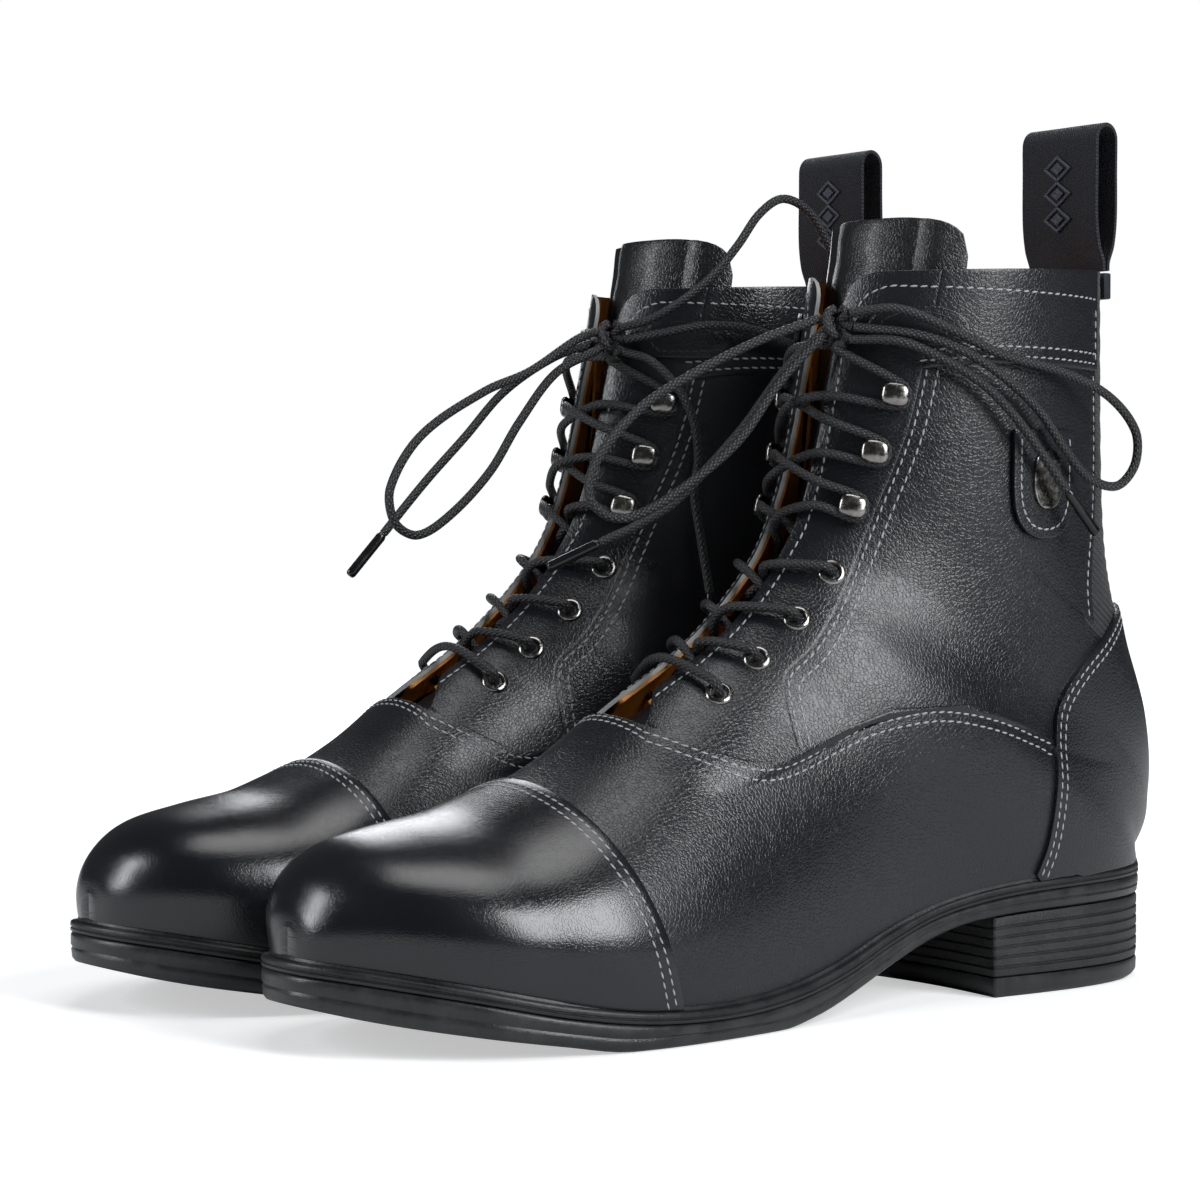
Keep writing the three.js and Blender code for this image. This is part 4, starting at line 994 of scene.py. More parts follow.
def makeStitches():
    bm = bmesh.new()
    top = {
        "facing": upper["facingLift"] + upper["leather"], "quarter": upper["quarterLift"] + upper["quarter"],
        "collar": upper["collarLift"] + upper["collar"],
        "counter": upper["counterLift"] + 1.5,
    }
    seamTop = max(top["facing"], top["quarter"]) + 0.03
    # toe cap: two rows just in front of its edge
    capLine = [(capSeam(u) - 0.02, u) for u in np.linspace(-0.985, 0.985, 90)]
    for distance in (-2.0, -4.6):
        row = shifted(capLine, distance)
        sewAlong(bm, row, 2.85)
    # vamp: two rows under its top edge, round the throat and down both sides
    vampTopAt = lambda s, u: vampHeight(s, u) + upper["leather"] + 0.03
    for distance in (2.2, 4.8):
        outer = [place for place in sideRow(vampLine, -distance) if place[1] > 0.17]
        across = np.linspace(-outer[0][1], outer[0][1], 14)[1:-1]
        middle = [(outer[0][0] - 0.03 * math.cos(u * 8), u) for u in across]
        sewAlong(bm, otherSide(outer)[::-1] + middle + outer, vampTopAt)
    for side in (1, -1):
        handed = (lambda rows: rows) if side > 0 else otherSide
        for distance in (1.9, 4.3):
            sewAlong(bm, handed(sideRow(counterLine, -distance)), top["counter"] + 0.02)
        for distance in (-1.2, -4.0):
            row = [p for p in sideRow(facingLine, distance) if fromSide(-150, 79)[0] < p[0] < 16.85]
            sewAlong(bm, handed(row), top["quarter"] + 0.06 if distance < 0 else seamTop)
        # front edge of the facing, round its corner and along the top line
        low = [(s, reachAt(s, upper["gap"] / 2 + 3.2)) for s in np.linspace(8.05, 16.2, 60)]
        bend = [(16.2 + 0.62 * t, reachAt(16.5, upper["gap"] / 2 + 3.2 + 8 * (1 - math.sqrt(1 - t * t))))
                for t in np.linspace(0.1, 1, 10)]
        high = [(16.84, u) for u in np.linspace(bend[-1][1] + 0.02, facingReach(16.84), 12)]
        sewAlong(bm, handed(low + bend + high), top["facing"] + 0.04)
        high = [(16.84, u) for u in np.linspace(facingReach(16.84) + 0.01, gussetReach(16.84) - 0.015, 30)]
        sewAlong(bm, handed(high), top["collar"] + 0.04)
        for distance in (2.0, 5.0):
            sewAlong(bm, handed(sideRow(collarLine[:-1] + [(-34, 189.6)], distance)), top["collar"] + 0.04)
        # beside the gusset
        ends = gussetFoot + 0.25, fromSide(-32, 188)[0], fromSide(-32, 192)[0], 16.8
        for start, end, height in ((*ends[:2], top["quarter"]), (*ends[2:], top["collar"])):
            line = [(s, gussetReach(s) - 0.014) for s in np.linspace(start, end, 30)]
            sewAlong(bm, handed(line), height + 0.04)
    onBothBoots(bm, "stitching", ["thread"], sharp=80)
    # patches
    bm = bmesh.new()
    badge = [[168.5, -69.6], [160, -69.6], [152, -69.4], [146.5, -68.2], [142.6, -65.4], [141, -60],
             [142.6, -54.6], [146.5, -51.8], [152, -50.6], [160, -50.4], [168.5, -50.4]]
    row = [fromSide(y, z) for y, z in throughPoints([(y, z) for z, y in badge], 2.0)]
    sewAlong(bm, row, 3.15, 2.6)
    onBothBoots(bm, "badge_stitching", ["thread"], sharp=80)
    bm = bmesh.new()
    keeper = [[197.2, -104.5], [199.5, -106.2], [202.6, -105.6], [204.8, -102], [205.2, -97], [203.6, -91.6],
              [200, -88.4], [197.6, -91]]
    for side in (1, -1):
        spots = throughPoints([(y, z) for z, y in keeper + keeper[:1]], 2.0)
        row = [fromSide(y, z, side < 0) for y, z in spots]
        sewAlong(bm, [(s, side * u) for s, u in row], 3.12, 2.4)
    onBothBoots(bm, "keeper_stitching", ["black_thread"], sharp=80)
    print("stitches made")


# ---- bottom unit

bottom = {"weltWidth": 4.0, "heelLip": 2.2, "heelLength": 82.0, "lift": 6.2, "around": 200}


def weltMargin(y):
    flare = bottom["heelLip"] - (y + bottom["heelLength"] + 10) / 20
    return bottom["heelLip"] if y > -bottom["heelLength"] - 10 else min(bottom["weltWidth"], flare)


def outlineRing(count):  # points round the foot with their outward directions
    ring = []
    for k in range(count):
        angle = 2 * math.pi * (k + 0.5) / count
        y = heelEnd - footLength * (1 - math.cos(angle)) / 2
        widths = halfWidths(y)
        ring.append(Vector((widths[0] if angle < math.pi else -widths[1], y)))
    outward = []
    for k in range(count):
        along = (ring[(k + 1) % count] - ring[k - 1]).normalized()
        outward.append(Vector((-along.y, along.x)))
    centre = Vector((0, -150))
    outward = [n if n.dot(p - centre) > 0 else -n for n, p in zip(outward, ring)]
    return ring, outward


def ringLoft(bm, profile, count):  # sweeps rows of (margin, z) of a place round the foot
    ring, outward = outlineRing(count)
    levels = len(profile(0.0))

    def place(a, b):
        k = int(round(a * count)) % count
        point, normal = ring[k], outward[k]
        margin, z = profile(point.y)[min(int(round(b * (levels - 1))), levels - 1)]
        spot = point + normal * margin
        return Vector((spot.x, spot.y, z))
    gridOf(bm, count, levels - 1, place, lambda a, b: (a * 800, b * 20))
    bmesh.ops.remove_doubles(bm, verts=bm.verts[:], dist=0.005)


def makeWelt():
    def profile(y):
        m, z = weltMargin(y), feather(y)
        rows = [
            (-5, -2.8), (-5, 0.3), (-0.6, 0.5), (0.0, 1.5), (0.6, 1.95), (1.2, 1.9), (1.7, 1.3), (1.9, 0.55),
            (m - 0.7, 0.4), (m - 0.15, 0.1), (m, -0.5), (m, -1.1), (m - 0.4, -1.35), (m - 0.4, -1.6),
            (m, -1.85), (m, -2.5), (m - 0.3, -2.8), (-5, -2.8),
        ]
        return [(margin, z + rise) for margin, rise in rows]
    bm = bmesh.new()
    ringLoft(bm, profile, bottom["around"])
    bmesh.ops.recalc_face_normals(bm, faces=bm.faces[:])
    onBothBoots(bm, "welt_band", ["welt_rubber"], "welt", sharp=50)


def widthsAt(y, margin):
    reach = footLength + 2 * margin
    t = clamp((heelEnd + margin - y) / reach, 0.0004, 0.9996)
    return [(fullness + margin) * math.sqrt(4 * t * (1 - t)) for fullness in smooth(outlineRows, t)]


def makeOutsole():
    def profile(y):
        m, top, low = weltMargin(y), feather(y) - 3.0, tread(y)
        tall = top - low
        return [
            (-7, top), (m - 1.2, top), (m - 0.4, top - 0.35), (m - 0.1, top - 1.0),
            (m - 0.1, top - tall * 0.42), (m - 0.5, top - tall * 0.47), (m - 0.5, top - tall * 0.51),
            (m - 0.2, top - tall * 0.56), (m - 0.5, low + tall * 0.16), (m - 1.4, low + tall * 0.03),
            (m - 3.0, low),
        ]
    bm = bmesh.new()
    ringLoft(bm, profile, bottom["around"])

    def under(a, b):
        y = heelEnd - 1.2 - (footLength - 2.6) * (1 - math.cos(math.pi * b)) / 2
        outer, inner = widthsAt(y, weltMargin(y) - 3.4)
        groove = 1.1 if (-226 < y < -160 or y < -236) and math.sin(y * 0.62) > 0.82 and tread(y) < 9 else 0.0
        return Vector((-inner + (outer + inner) * a, y, tread(y) + 0.02 + groove))
    gridOf(bm, 24, 160, under)
    bmesh.ops.recalc_face_normals(bm, faces=bm.faces[:])
    onBothBoots(bm, "outsole_rubber", ["rubber"], "outsole", sharp=50)


def heelRing(margin, count):  # the heel's outline, closed by its straight breast
    ring, outward = outlineRing(420)
    breast = heelEnd + bottom["heelLip"] - bottom["heelLength"]
    half = [p + n * margin for p, n in zip(ring, outward) if (p + n * margin).y > breast]
    outer = sorted([p for p in half if p.x > 0], key=lambda p: p.y)
    inner = sorted([p for p in half if p.x <= 0], key=lambda p: -p.y)
    front = [Vector((inner[-1].x + (outer[0].x - inner[-1].x) * k / 12, breast)) for k in range(13)]
    bow = [Vector((p.x, p.y + 2.0 * math.sin(math.pi * k / 12))) for k, p in enumerate(front)]
    points = outer + inner + bow
    lengths = [0.0]
    closedPoints = points + points[:1]
    for a, b in zip(closedPoints, closedPoints[1:]):
        lengths.append(lengths[-1] + (b - a).length)
    at = [lengths[-1] * k / count for k in range(count)]
    xs = np.interp(at, lengths, [p.x for p in closedPoints])
    ys = np.interp(at, lengths, [p.y for p in closedPoints])
    return [Vector((x, y)) for x, y in zip(xs, ys)]


def heelPiece(levels, count, label, slotName, part):  # levels of (margin, height share, lift)
    centre = Vector((0, -34))
    ring = heelRing(bottom["heelLip"] - 0.4, count)
    bm = bmesh.new()

    def place(a, b):
        point = ring[int(round(a * count)) % count]
        inset, z = levels[min(int(round(b * (len(levels) - 1))), len(levels) - 1)]
        spot = point + (centre - point).normalized() * inset
        return Vector((spot.x, spot.y, z(point.y)))
    gridOf(bm, count, len(levels) - 1, place, lambda a, b: (a * 200, b * 20))
    bmesh.ops.remove_doubles(bm, verts=bm.verts[:], dist=0.005)
    bmesh.ops.holes_fill(bm, edges=[edge for edge in bm.edges if edge.is_boundary], sides=0)
    bmesh.ops.recalc_face_normals(bm, faces=bm.faces[:])
    onBothBoots(bm, label, [slotName], part, sharp=35)


def makeHeels():
    foot = bottom["lift"] + 0.1
    rise = lambda share: (lambda y: foot + (tread(y) - 0.1 - foot) * share)
    levels = [(1.2, rise(0.0)), (0.5, rise(0.02))]
    for k in range(1, 6):
        share = k / 6
        levels += [(0.15, rise(share - 0.035)), (0.85, rise(share - 0.014)), (0.85, rise(share + 0.006)),
                   (0.15, rise(share + 0.024))]
    levels += [(0.15, rise(0.97)), (0.5, rise(1.0))]
    heelPiece(levels, 260, "heel_stack_layers", "heel_stack", "heel_stack")
    flat = lambda z: (lambda y: z)
    backCut = lambda z, cut: (lambda y: z + cut * ease((y + 14) / 20))
    levels = [(4.0, flat(0.0)), (2.4, backCut(0.0, 0.8)), (0.9, backCut(0.9, 1.3)), (0.35, backCut(1.8, 0.9)),
              (0.2, flat(5.2)), (0.5, flat(6.0)), (1.4, flat(6.1))]
    heelPiece(levels, 260, "heel_lift_rubber", "rubber", "heel_top_lift")
    print("bottoms made")


# ---- pull loops

loop = {"width": 34.0, "thick": 1.4, "height": 46.0, "gap": 7.0, "lift": 0.8, "flare": 12.0}


def makePullLoops():
    seat = lastPoint(topSection, 1)
    half = loop["gap"] / 2 + loop["thick"] / 2
    legs = loop["height"] - half - loop["thick"] / 2
    path = [(-1.0, 0), (-1.2, 3), (-half * 0.75, loop["flare"] * 0.7), (-half, loop["flare"] * 1.4),
            (-half, legs * 0.8), (-half, legs)]
    path += [(half * math.sin(angle), legs + half * math.cos(angle)) for angle in np.linspace(-1.2, 1.2, 7)]
    path += [(-y, z) for y, z in path[5::-1]]
    line = throughPoints(path, 0.8)

    def place(a, b):
        k = int(round(b * (len(line) - 1)))
        y, z = line[k]
        tangent = line[min(k + 1, len(line) - 1)] - line[max(k - 1, 0)]
        tangent = tangent / np.linalg.norm(tangent)
        inward = loop["thick"] / 2
        wave = 0.25 * math.sin(a * 9 + z * 0.1)
        x = (a - 0.5) * loop["width"]
        return Vector((x, seat[1] + y + tangent[1] * inward + wave * 0.3, seat[2] + loop["lift"] + z))
    bm = bmesh.new()
    gridOf(bm, 26, len(line) - 1, place, lambda a, b: (a * loop["width"], b * 100))
    bm.normal_update()
    top = max(bm.faces, key=lambda face: face.calc_center_median().z)
    if top.normal.z < 0:
        bmesh.ops.reverse_faces(bm, faces=bm.faces[:])
    thicken(bm, loop["thick"] * 0.8, 0.25)
    onBothBoots(bm, "pull_loop_webbing", ["webbing"], "pull_tab", "pull_tab")
    bm = bmesh.new()  # the sewn-in foot of the loop, between the elastic and the lining
    bmesh.ops.create_cube(bm, size=1)
    bmesh.ops.scale(bm, vec=(loop["width"], 3.0, 8.2), verts=bm.verts[:])
    bmesh.ops.translate(bm, vec=(0, seat[1] + 0.6, seat[2] - 3.95), verts=bm.verts[:])
    bmesh.ops.bevel(bm, geom=bm.edges[:], offset=0.5, segments=2, profile=0.5, affect="EDGES", material=-1)
    onBothBoots(bm, "pull_loop_foot", ["webbing"])
    bm = bmesh.new()
    face = seat[1] - half - loop["thick"] * 0.8 - 0.12
    for rise in (17, 25, 33):  # three woven diamonds, each a thin frame round a smaller one
        for wide, inner in ((5.2, 3.9), (2.4, 0.0)):
            def spot(a, b):
                turn, reach = 2 * math.pi * round(a * 4) / 4, inner + (wide - inner) * b
                high = seat[2] + loop["lift"] + rise + math.sin(turn) * reach * 0.8
                return Vector((math.cos(turn) * reach * 1.2, face, high))
            gridOf(bm, 4, 1, spot, lambda a, b: (a * 20, b * 4))
    bmesh.ops.remove_doubles(bm, verts=bm.verts[:], dist=0.01)
    bmesh.ops.recalc_face_normals(bm, faces=bm.faces[:])
    onBothBoots(bm, "pull_loop_mark", ["woven_mark"], None, "pull_tab")
    print("pull loops made")


# ---- eyelets and hooks

eyeletSpots = [fromSide(y, z) for y, z in ((-167.3, 93.3), (-153, 103.2), (-139, 114.6), (-125.5, 128))]
hookSpots = [fromSide(y, z) for y, z in ((-117, 147), (-110.5, 163.5), (-105, 180.5))]
hardware = {
    "bore": 2.3, "flange": 4.15, "seat": 1.42, "stem": 1.1, "reach": 4.1, "head": (4.1, 3.5, 1.5),
    "washer": 3.5,
}


def lathe(bm, profile, steps=32):  # spins a profile of (radius, height) round the axis
    start = [bm.verts.new((radius, 0, height)) for radius, height in profile]
    edges = [bm.edges.new(pair) for pair in zip(start, start[1:])]
    bmesh.ops.spin(bm, geom=start + edges, cent=(0, 0, 0), axis=(0, 0, 1), angle=2 * math.pi,
                   steps=steps, use_merge=True, use_duplicate=False)
    bmesh.ops.remove_doubles(bm, verts=bm.verts[:], dist=0.003)
    bmesh.ops.recalc_face_normals(bm, faces=bm.faces[:])


def seated(mesh, spot, out):
    s, u = spot
    normal = Vector(lastNormal(s, u))
    up = Vector(lastPoint(s + 0.05, u) - lastPoint(s - 0.05, u)).normalized()
    side = up.cross(normal).normalized()
    turn = Matrix((side, normal.cross(side), normal)).transposed().to_4x4()
    copy = mesh.copy()
    copy.transform(Matrix.Translation(Vector(onLast(s, u, out))) @ turn)
    return copy


def eyeletMesh():
    bore, flange = hardware["bore"], hardware["flange"]
    bm = bmesh.new()
    lathe(bm, [
        (bore + 0.35, -2.2), (bore, -2.0), (bore, 0.2), (bore + 0.15, 0.6), (bore + 0.55, 0.85),
        (bore + 1.0, 0.8), (flange - 0.35, 0.5), (flange - 0.05, 0.2), (flange, -0.05), (flange - 0.4, -0.1),
        (bore + 0.5, -0.1), (bore + 0.35, -2.2),
    ])
    mesh = bpy.data.meshes.new("eyelet")
    bm.to_mesh(mesh)
    bm.free()
    return mesh


def hookMesh():
    stem, reach, washer = hardware["stem"], hardware["reach"], hardware["washer"]
    bm = bmesh.new()
    lathe(bm, [
        (0, -2.0), (washer, -2.0), (washer, -0.05), (washer + 0.6, 0.0), (washer + 0.65, 0.25),
        (washer + 0.2, 0.5), (washer - 0.6, 0.45), (washer - 1.0, 0.3), (stem + 0.4, 0.35), (stem, 0.8),
        (stem, reach - 0.3), (stem + 0.6, reach),
        (0, reach + 0.2),
    ], 28)
    mesh = bpy.data.meshes.new("hook")
    head = bmesh.ops.create_uvsphere(bm, u_segments=28, v_segments=16, radius=1.0)["verts"]
    for vert in head:  # a domed head with square shoulders and a flat underside
        x, y, z = vert.co
        square = (abs(x) ** 3 + abs(y) ** 3 + 1e-9) ** (1 / 3) / max(math.hypot(x, y), 1e-6)
        wide = 1 / max(square, 0.8)
        vert.co = Vector((x * hardware["head"][0] * wide, y * hardware["head"][1] * wide,
                          reach + 0.55 + max(z, -0.35) * hardware["head"][2]))
    bm.to_mesh(mesh)
    bm.free()
    return mesh


def makeHardware():
    eyelet, hook = eyeletMesh(), hookMesh()
    for side, label in ((1, "outer"), (-1, "inner")):
        bm = bmesh.new()
        for s, u in eyeletSpots:
            copy = seated(eyelet, (s, side * u), hardware["seat"])
            bm.from_mesh(copy)
            bpy.data.meshes.remove(copy)
        for s, u in hookSpots:
            copy = seated(hook, (s, side * u), hardware["seat"])
            bm.from_mesh(copy)
            bpy.data.meshes.remove(copy)
        onBothBoots(bm, f"{label}_eyelets_hooks", ["antique_silver"], f"{label}_fastener_row", sharp=38)
    print("hardware made")


# ---- laces

lace = {"diameter": 2.8, "sides": 14, "step": 0.9, "aglet": 17.0, "agletDiameter": 3.2}
leatherTop, flangeLift, rimHeight, stay = 1.5, 0.6, 0.7, 1.5
laceRadius = lace["diameter"] / 2
outsideRun = leatherTop + flangeLift + rimHeight + laceRadius + 0.7
facingRun = leatherTop + laceRadius + 0.6
insideRun = -stay - laceRadius - 1.3
neckRun = leatherTop + flangeLift + 0.4 + 1.75


def acrossOf(spot):
    s, u = spot
    widths, turns = section(round(s, 6))[4:6]
    return math.copysign(widths[0] * math.sin(abs(u) * turns[0]), u)


def atAcross(s, x, out):
    return onLast(s, math.copysign(reachAt(s, abs(x)), x), out)


def between(start, end, distance, out):  # a point on the way from one fastener to the next
    x0, x1 = acrossOf(start), acrossOf(end)
    length = float(np.linalg.norm(lastPoint(*start) - lastPoint(*end)))
    share = 1 + distance / length if distance < 0 else distance / length
    return atAcross(start[0] + (end[0] - start[0]) * share, x0 + (x1 - x0) * share, out)


def beside(start, end, x, out):
    x0, x1 = acrossOf(start), acrossOf(end)
    side = math.copysign(1, x1)
    share = (side * x - x0) / (x1 - x0)
    return atAcross(start[0] + (end[0] - start[0]) * share, side * x, out)


def roundNeck(spot):
    s, u = spot
    normal = lastNormal(s, u)
    up = lastPoint(s + 0.05, u) - lastPoint(s - 0.05, u)
    up /= np.linalg.norm(up)
    away = np.cross(up, normal) * math.copysign(1, u)
    away /= np.linalg.norm(away)
    seat = onLast(s, u, neckRun)
    turns = (-1, 0, 1)
    angles = [t * math.pi / 3 for t in turns]
    return [seat + away * 3.7 * math.cos(angle) + up * 3.7 * math.sin(angle) for angle in angles]


def halfLacing(side):
    sideOf = lambda k: -side if k % 2 else side
    eyelets = [(s, u * sideOf(k)) for k, (s, u) in enumerate(eyeletSpots)]
    hooks = [(s, u * sideOf(k + 4)) for k, (s, u) in enumerate(hookSpots)]
    over = side > 0
    gap = [(-4, -3.6), (1.2, -2.8), (5.3, facingRun + 0.4)]  # under the other half of the lace
    if over:
        gap = [(-4, -0.6), (0, 2.4), (4.8, facingRun + 0.6)]
    points = [between(eyelets[0], (eyelets[0][0], -eyelets[0][1]), 1.6, outsideRun)]
    for k, spot in enumerate(eyelets):
        ahead = eyelets[k + 1] if k < 3 else hooks[0]
        points += [onLast(*spot, 2.2), onLast(*spot, -0.6), between(spot, ahead, 1.6, insideRun - 0.1)]
        points += [beside(spot, ahead, -8, insideRun)] + [beside(spot, ahead, x, out) for x, out in gap]
        points.append(between(spot, ahead, *((-1.6, outsideRun) if k < 3 else (-7.5, facingRun + 1))))
    for k, spot in enumerate(hooks):
        points += roundNeck(spot)
        if k < 2:
            ahead = hooks[k + 1]
            points.append(beside(spot, ahead, -9, facingRun + 1.1))
            points.append(beside(spot, ahead, 0, facingRun + 0.1 + (3.4 if over else 0)))
            points.append(beside(spot, ahead, 9, facingRun + 1.1))
    return points


knotPlace = np.array((11.5, -117.8, 202.5))


def lacingRoute(hand):
    knot = knotPlace * (hand, 1, 1)
    ends = []
    for side in (1, -1):
        half = halfLacing(side)
        last = math.copysign(1, half[-1][0])
        half.append(onLast(16.15, last * reachAt(16.15, 9), facingRun + (3.2 if side > 0 else 1.4)))
        half.append(knot + (last * 3, 0.6, -6.2))
        ends.append(half)
    middle = onLast(eyeletSpots[0][0], 0, facingRun + 1.2)
    return ends[0][::-1] + [middle] + ends[1]


looseLaces = {
    "left": {
        "lace_front_loop": [
            (8, -122.3, 203.6), (1.9, -139.9, 196.9), (-6, -158.1, 187), (-12.1, -172.2, 177.3),
            (-17.4, -184.2, 162.3), (-18.6, -187, 151.7), (-16.5, -182.2, 145.3), (-13.4, -175.2, 144.8),
            (-8.2, -163.1, 151.7), (-0.7, -146, 166.8), (4.4, -133.8, 185), (9.4, -123, 197.8),
        ],
        "lace_rear_loop": [
            (16.8, -117.5, 205.2), (27.5, -107.8, 206.2), (37, -94.5, 199.8), (41, -80, 193.2),
            (42.5, -57, 188.5), (43, -38, 181.5), (42.5, -26, 171), (42, -25.5, 161), (42, -33, 154.2),
            (42.5, -45, 156.5), (44.2, -57, 165.5), (43.5, -66.5, 176.5), (42, -79.5, 186.4),
            (38.6, -91, 193.4), (31.5, -102.5, 198.4), (17.6, -116.5, 201),
        ],
        "lace_front_end": [
            (6.3, -119.6, 199.8), (1.4, -129.2, 189), (-5.9, -139.6, 171.6), (-12.1, -149, 158.8),
            (-17.8, -156.9, 148.9), (-23.7, -164.8, 142.7), (-30.9, -174.3, 137),
        ],
        "lace_rear_end": [
            (16.4, -117, 197.4), (28.5, -107.5, 196.5), (35.6, -95.7, 190.8), (40, -84.8, 183.6),
            (42.8, -76.2, 175.2), (45, -67.6, 164.7), (46, -57.5, 152.8),
        ],
    },
    "right": {
        "lace_front_loop": [
            (9.6, -123.4, 203.8), (12.8, -132.4, 201), (14.9, -151.6, 190.4), (16.8, -170, 183.6),
            (19.3, -194.7, 169.5), (20.7, -206.5, 153.5), (20.2, -204.6, 143), (19.4, -196.1, 139.1),
            (18.1, -183.4, 145.2), (16.5, -167.7, 158.7), (15.4, -156, 174.2), (13.9, -141.2, 190),
            (11.3, -123.6, 197.8),
        ],
        "lace_rear_loop": [
            (16.8, -117.5, 205.2), (26, -113, 207.5), (34, -107.7, 212.4), (39.5, -98.3, 221),
            (42.5, -90.4, 231), (44.3, -83, 241.3), (45, -74.3, 246.4), (45, -63.9, 243), (44.5, -54.8, 232),
            (44, -49.5, 218), (43.6, -47.5, 206.5), (43.2, -54, 198.5), (42.8, -66, 199.5),
            (41.5, -82, 204.2), (38, -97.5, 205.6), (29, -110, 203.2), (17.6, -116.5, 201.4),
        ],
        "lace_front_end": [
            (6.4, -121.2, 200.6), (6, -137, 195.3), (3.8, -154, 184.3), (1.4, -167.4, 169.6),
            (-1.2, -180, 156), (-3.9, -194, 139.5),
        ],
        "lace_rear_end": [
            (16.2, -116.4, 197.6), (23.5, -110.8, 194.5), (30, -105.2, 186), (33.6, -101.4, 175.4),
            (34.6, -100.2, 163.8), (34.4, -101.6, 152.1), (36, -100.2, 138.2), (39.2, -99, 120.5),
        ],
    },
}


def tubeMesh(points, radius, name, material, sides, hand, mirrored, step, radiusAt=None):
    line = [Vector(p) for p in throughPoints(points, step)]
    last = len(line) - 1
    tangents = [(line[min(k + 1, last)] - line[max(k - 1, 0)]).normalized() for k in range(len(line))]
    side = tangents[0].orthogonal().normalized()
    frames, along = [], [0.0]
    for k, tangent in enumerate(tangents):  # the ring is carried along without twisting
        side = (side - tangent * side.dot(tangent)).normalized()
        frames.append((side.copy(), tangent.cross(side)))
        if k:
            along.append(along[-1] + (line[k] - line[k - 1]).length)
    bm = bmesh.new()

    def place(a, b):
        k = int(round(b * (len(line) - 1)))
        angle = 2 * math.pi * (int(round(a * sides)) % sides) / sides
        wide = radius * (radiusAt(along[k], along[-1]) if radiusAt else 1)
        return line[k] + (frames[k][0] * math.cos(angle) + frames[k][1] * math.sin(angle)) * wide
    gridOf(bm, sides, len(line) - 1, place, lambda a, b: (a, along[int(round(b * (len(line) - 1)))]))
    bmesh.ops.remove_doubles(bm, verts=bm.verts[:], dist=0.002)
    bmesh.ops.holes_fill(bm, edges=[edge for edge in bm.edges if edge.is_boundary], sides=0)
    bmesh.ops.recalc_face_normals(bm, faces=bm.faces[:])
    mesh = finishMesh(bm, name, [material], 60)
    bm.free()
    mesh.transform(toStand(hand, mirrored))
    if mirrored and hand < 0:
        mesh.flip_normals()
    return mesh, [standPoint(hand, p, mirrored) for p in line], along[-1] / 1000


def makeLaces():
    for hand, name in hands.items():
        body = f"{name}_boot"
        mesh, _, _ = tubeMesh(lacingRoute(hand), laceRadius, f"{name}_lacing_braid", "waxed_lace", 12,
                              hand, True, 0.9)
        putPiece(mesh, mesh.name, body, [f"{name}_lacing"])
        makeKnot(hand, name)
        for label, points in looseLaces[name].items():
            mesh, path, length = tubeMesh(points, laceRadius, f"{name}_{label}_braid", "waxed_lace",
                                          lace["sides"], hand, False, lace["step"])
            piece = putPiece(mesh, mesh.name, body, [f"{name}_{label}"])
            if label.endswith("loop"):
                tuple(path[0])
                continue
            sleeve = makeAglet(hand, name, label, points)
            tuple(path[0])
    print("laces made")


def makeAglet(hand, name, label, points):
    before, end = np.array(points[-2]), np.array(points[-1])
    ahead = (end - before) / np.linalg.norm(end - before)
    sleeveNode = label.replace("lace_", "").replace("_end", "_aglet")
    crimp = lambda at, whole: 0.72 + 0.28 * ease(at / 1.2) * ease((whole - at) / 0.8)
    mesh, _, _ = tubeMesh([end + ahead * 0.3, end + ahead * 9, end + ahead * (0.3 + lace["aglet"])],
                          lace["agletDiameter"] / 2, f"{name}_{sleeveNode}_sleeve", "aglet", 20,
                          hand, False, 0.5, crimp)
    return putPiece(mesh, mesh.name, f"{name}_boot", [f"{name}_{sleeveNode}"])


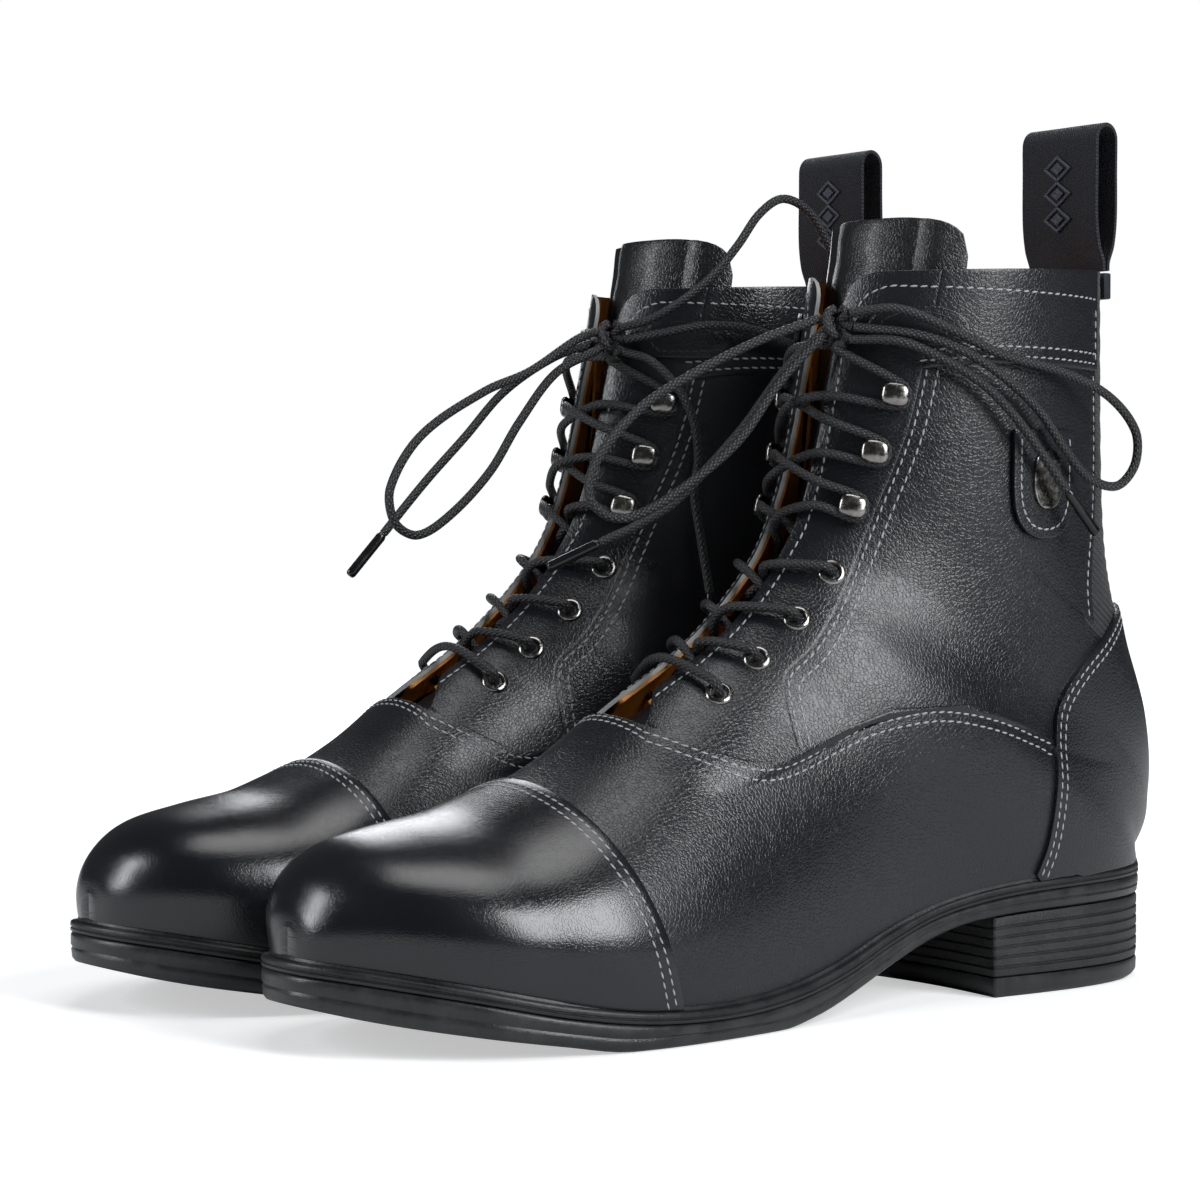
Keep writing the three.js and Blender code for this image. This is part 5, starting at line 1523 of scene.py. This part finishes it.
def makeKnot(hand, name):  # the strands gathered by one tight turn
    centre = knotPlace
    turn = [centre + (0.8 * math.sin(2 * a), 3.9 * math.sin(a), 4.2 * math.cos(a))
            for a in np.linspace(0.2, 2 * math.pi - 0.2, 12)]
    mesh, _, _ = tubeMesh(turn, laceRadius, f"{name}_knot_turn", "waxed_lace", 12, hand, False, 0.7)
    putPiece(mesh, mesh.name, f"{name}_boot", [f"{name}_lace_knot"])
    starts = [points[0] for points in looseLaces[name].values()]
    starts += [points[-1] for label, points in looseLaces[name].items() if label.endswith("loop")]
    starts += [knotPlace + (side * 3, 0.6, -6.2) for side in (1, -1)]
    for k, start in enumerate(starts):
        inner = centre + (np.array(start) - centre) * 0.2
        mesh, _, _ = tubeMesh([np.array(start), (np.array(start) + inner) / 2, inner], laceRadius * 0.98,
                              f"{name}_knot_strand_{k}", "waxed_lace", 12, hand, False, 0.7)
        putPiece(mesh, mesh.name, f"{name}_boot")


makeLaces()
makeUppers()
makePatches()
makeStitches()
makeWelt()
makeOutsole()
makeHeels()
makePullLoops()
makeHardware()

# ---- carried-over solids

for name in hands.values():
    insole = bpy.data.objects[f"{name}_insole"]
    insole.data.materials.clear()
    insole.data.materials.append(finishes["footbed"])

# ---- floor

floorMesh = bpy.data.meshes.new("floor")
bm = bmesh.new()
bmesh.ops.create_grid(bm, x_segments=1, y_segments=1, size=studio["floor"])
bm.to_mesh(floorMesh)
bm.free()
floor = bpy.data.objects.new("floor", floorMesh)
collection.objects.link(floor)
floorMaterial, floorTree, floorShader = startMaterial("paper", studio["floorColor"], 0.75)
floorShader.inputs["Emission Color"].default_value = (1, 1, 1, 1)
floorShader.inputs["Specular IOR Level"].default_value = 0
where = floorTree.nodes.new("ShaderNodeTexCoord")
away = node(floorTree, "ShaderNodeVectorMath", [(where.outputs["Object"], 0)], operation="LENGTH")
seen = floorTree.nodes.new("ShaderNodeLightPath").outputs["Is Camera Ray"]
# painted light: the floor glows for the camera only, at half strength near the boots rising to full strength
# 1.3 m out, so it looks lit white while shadows still show close by
paintedGlow = maths(floorTree, "MULTIPLY", remap(floorTree, away.outputs["Value"], 0.25, 1.3, *studio["paintedGlow"]), seen)
floorTree.links.new(paintedGlow, floorShader.inputs["Emission Strength"])
floorMesh.materials.append(floorMaterial)

bpy.context.view_layer.update()
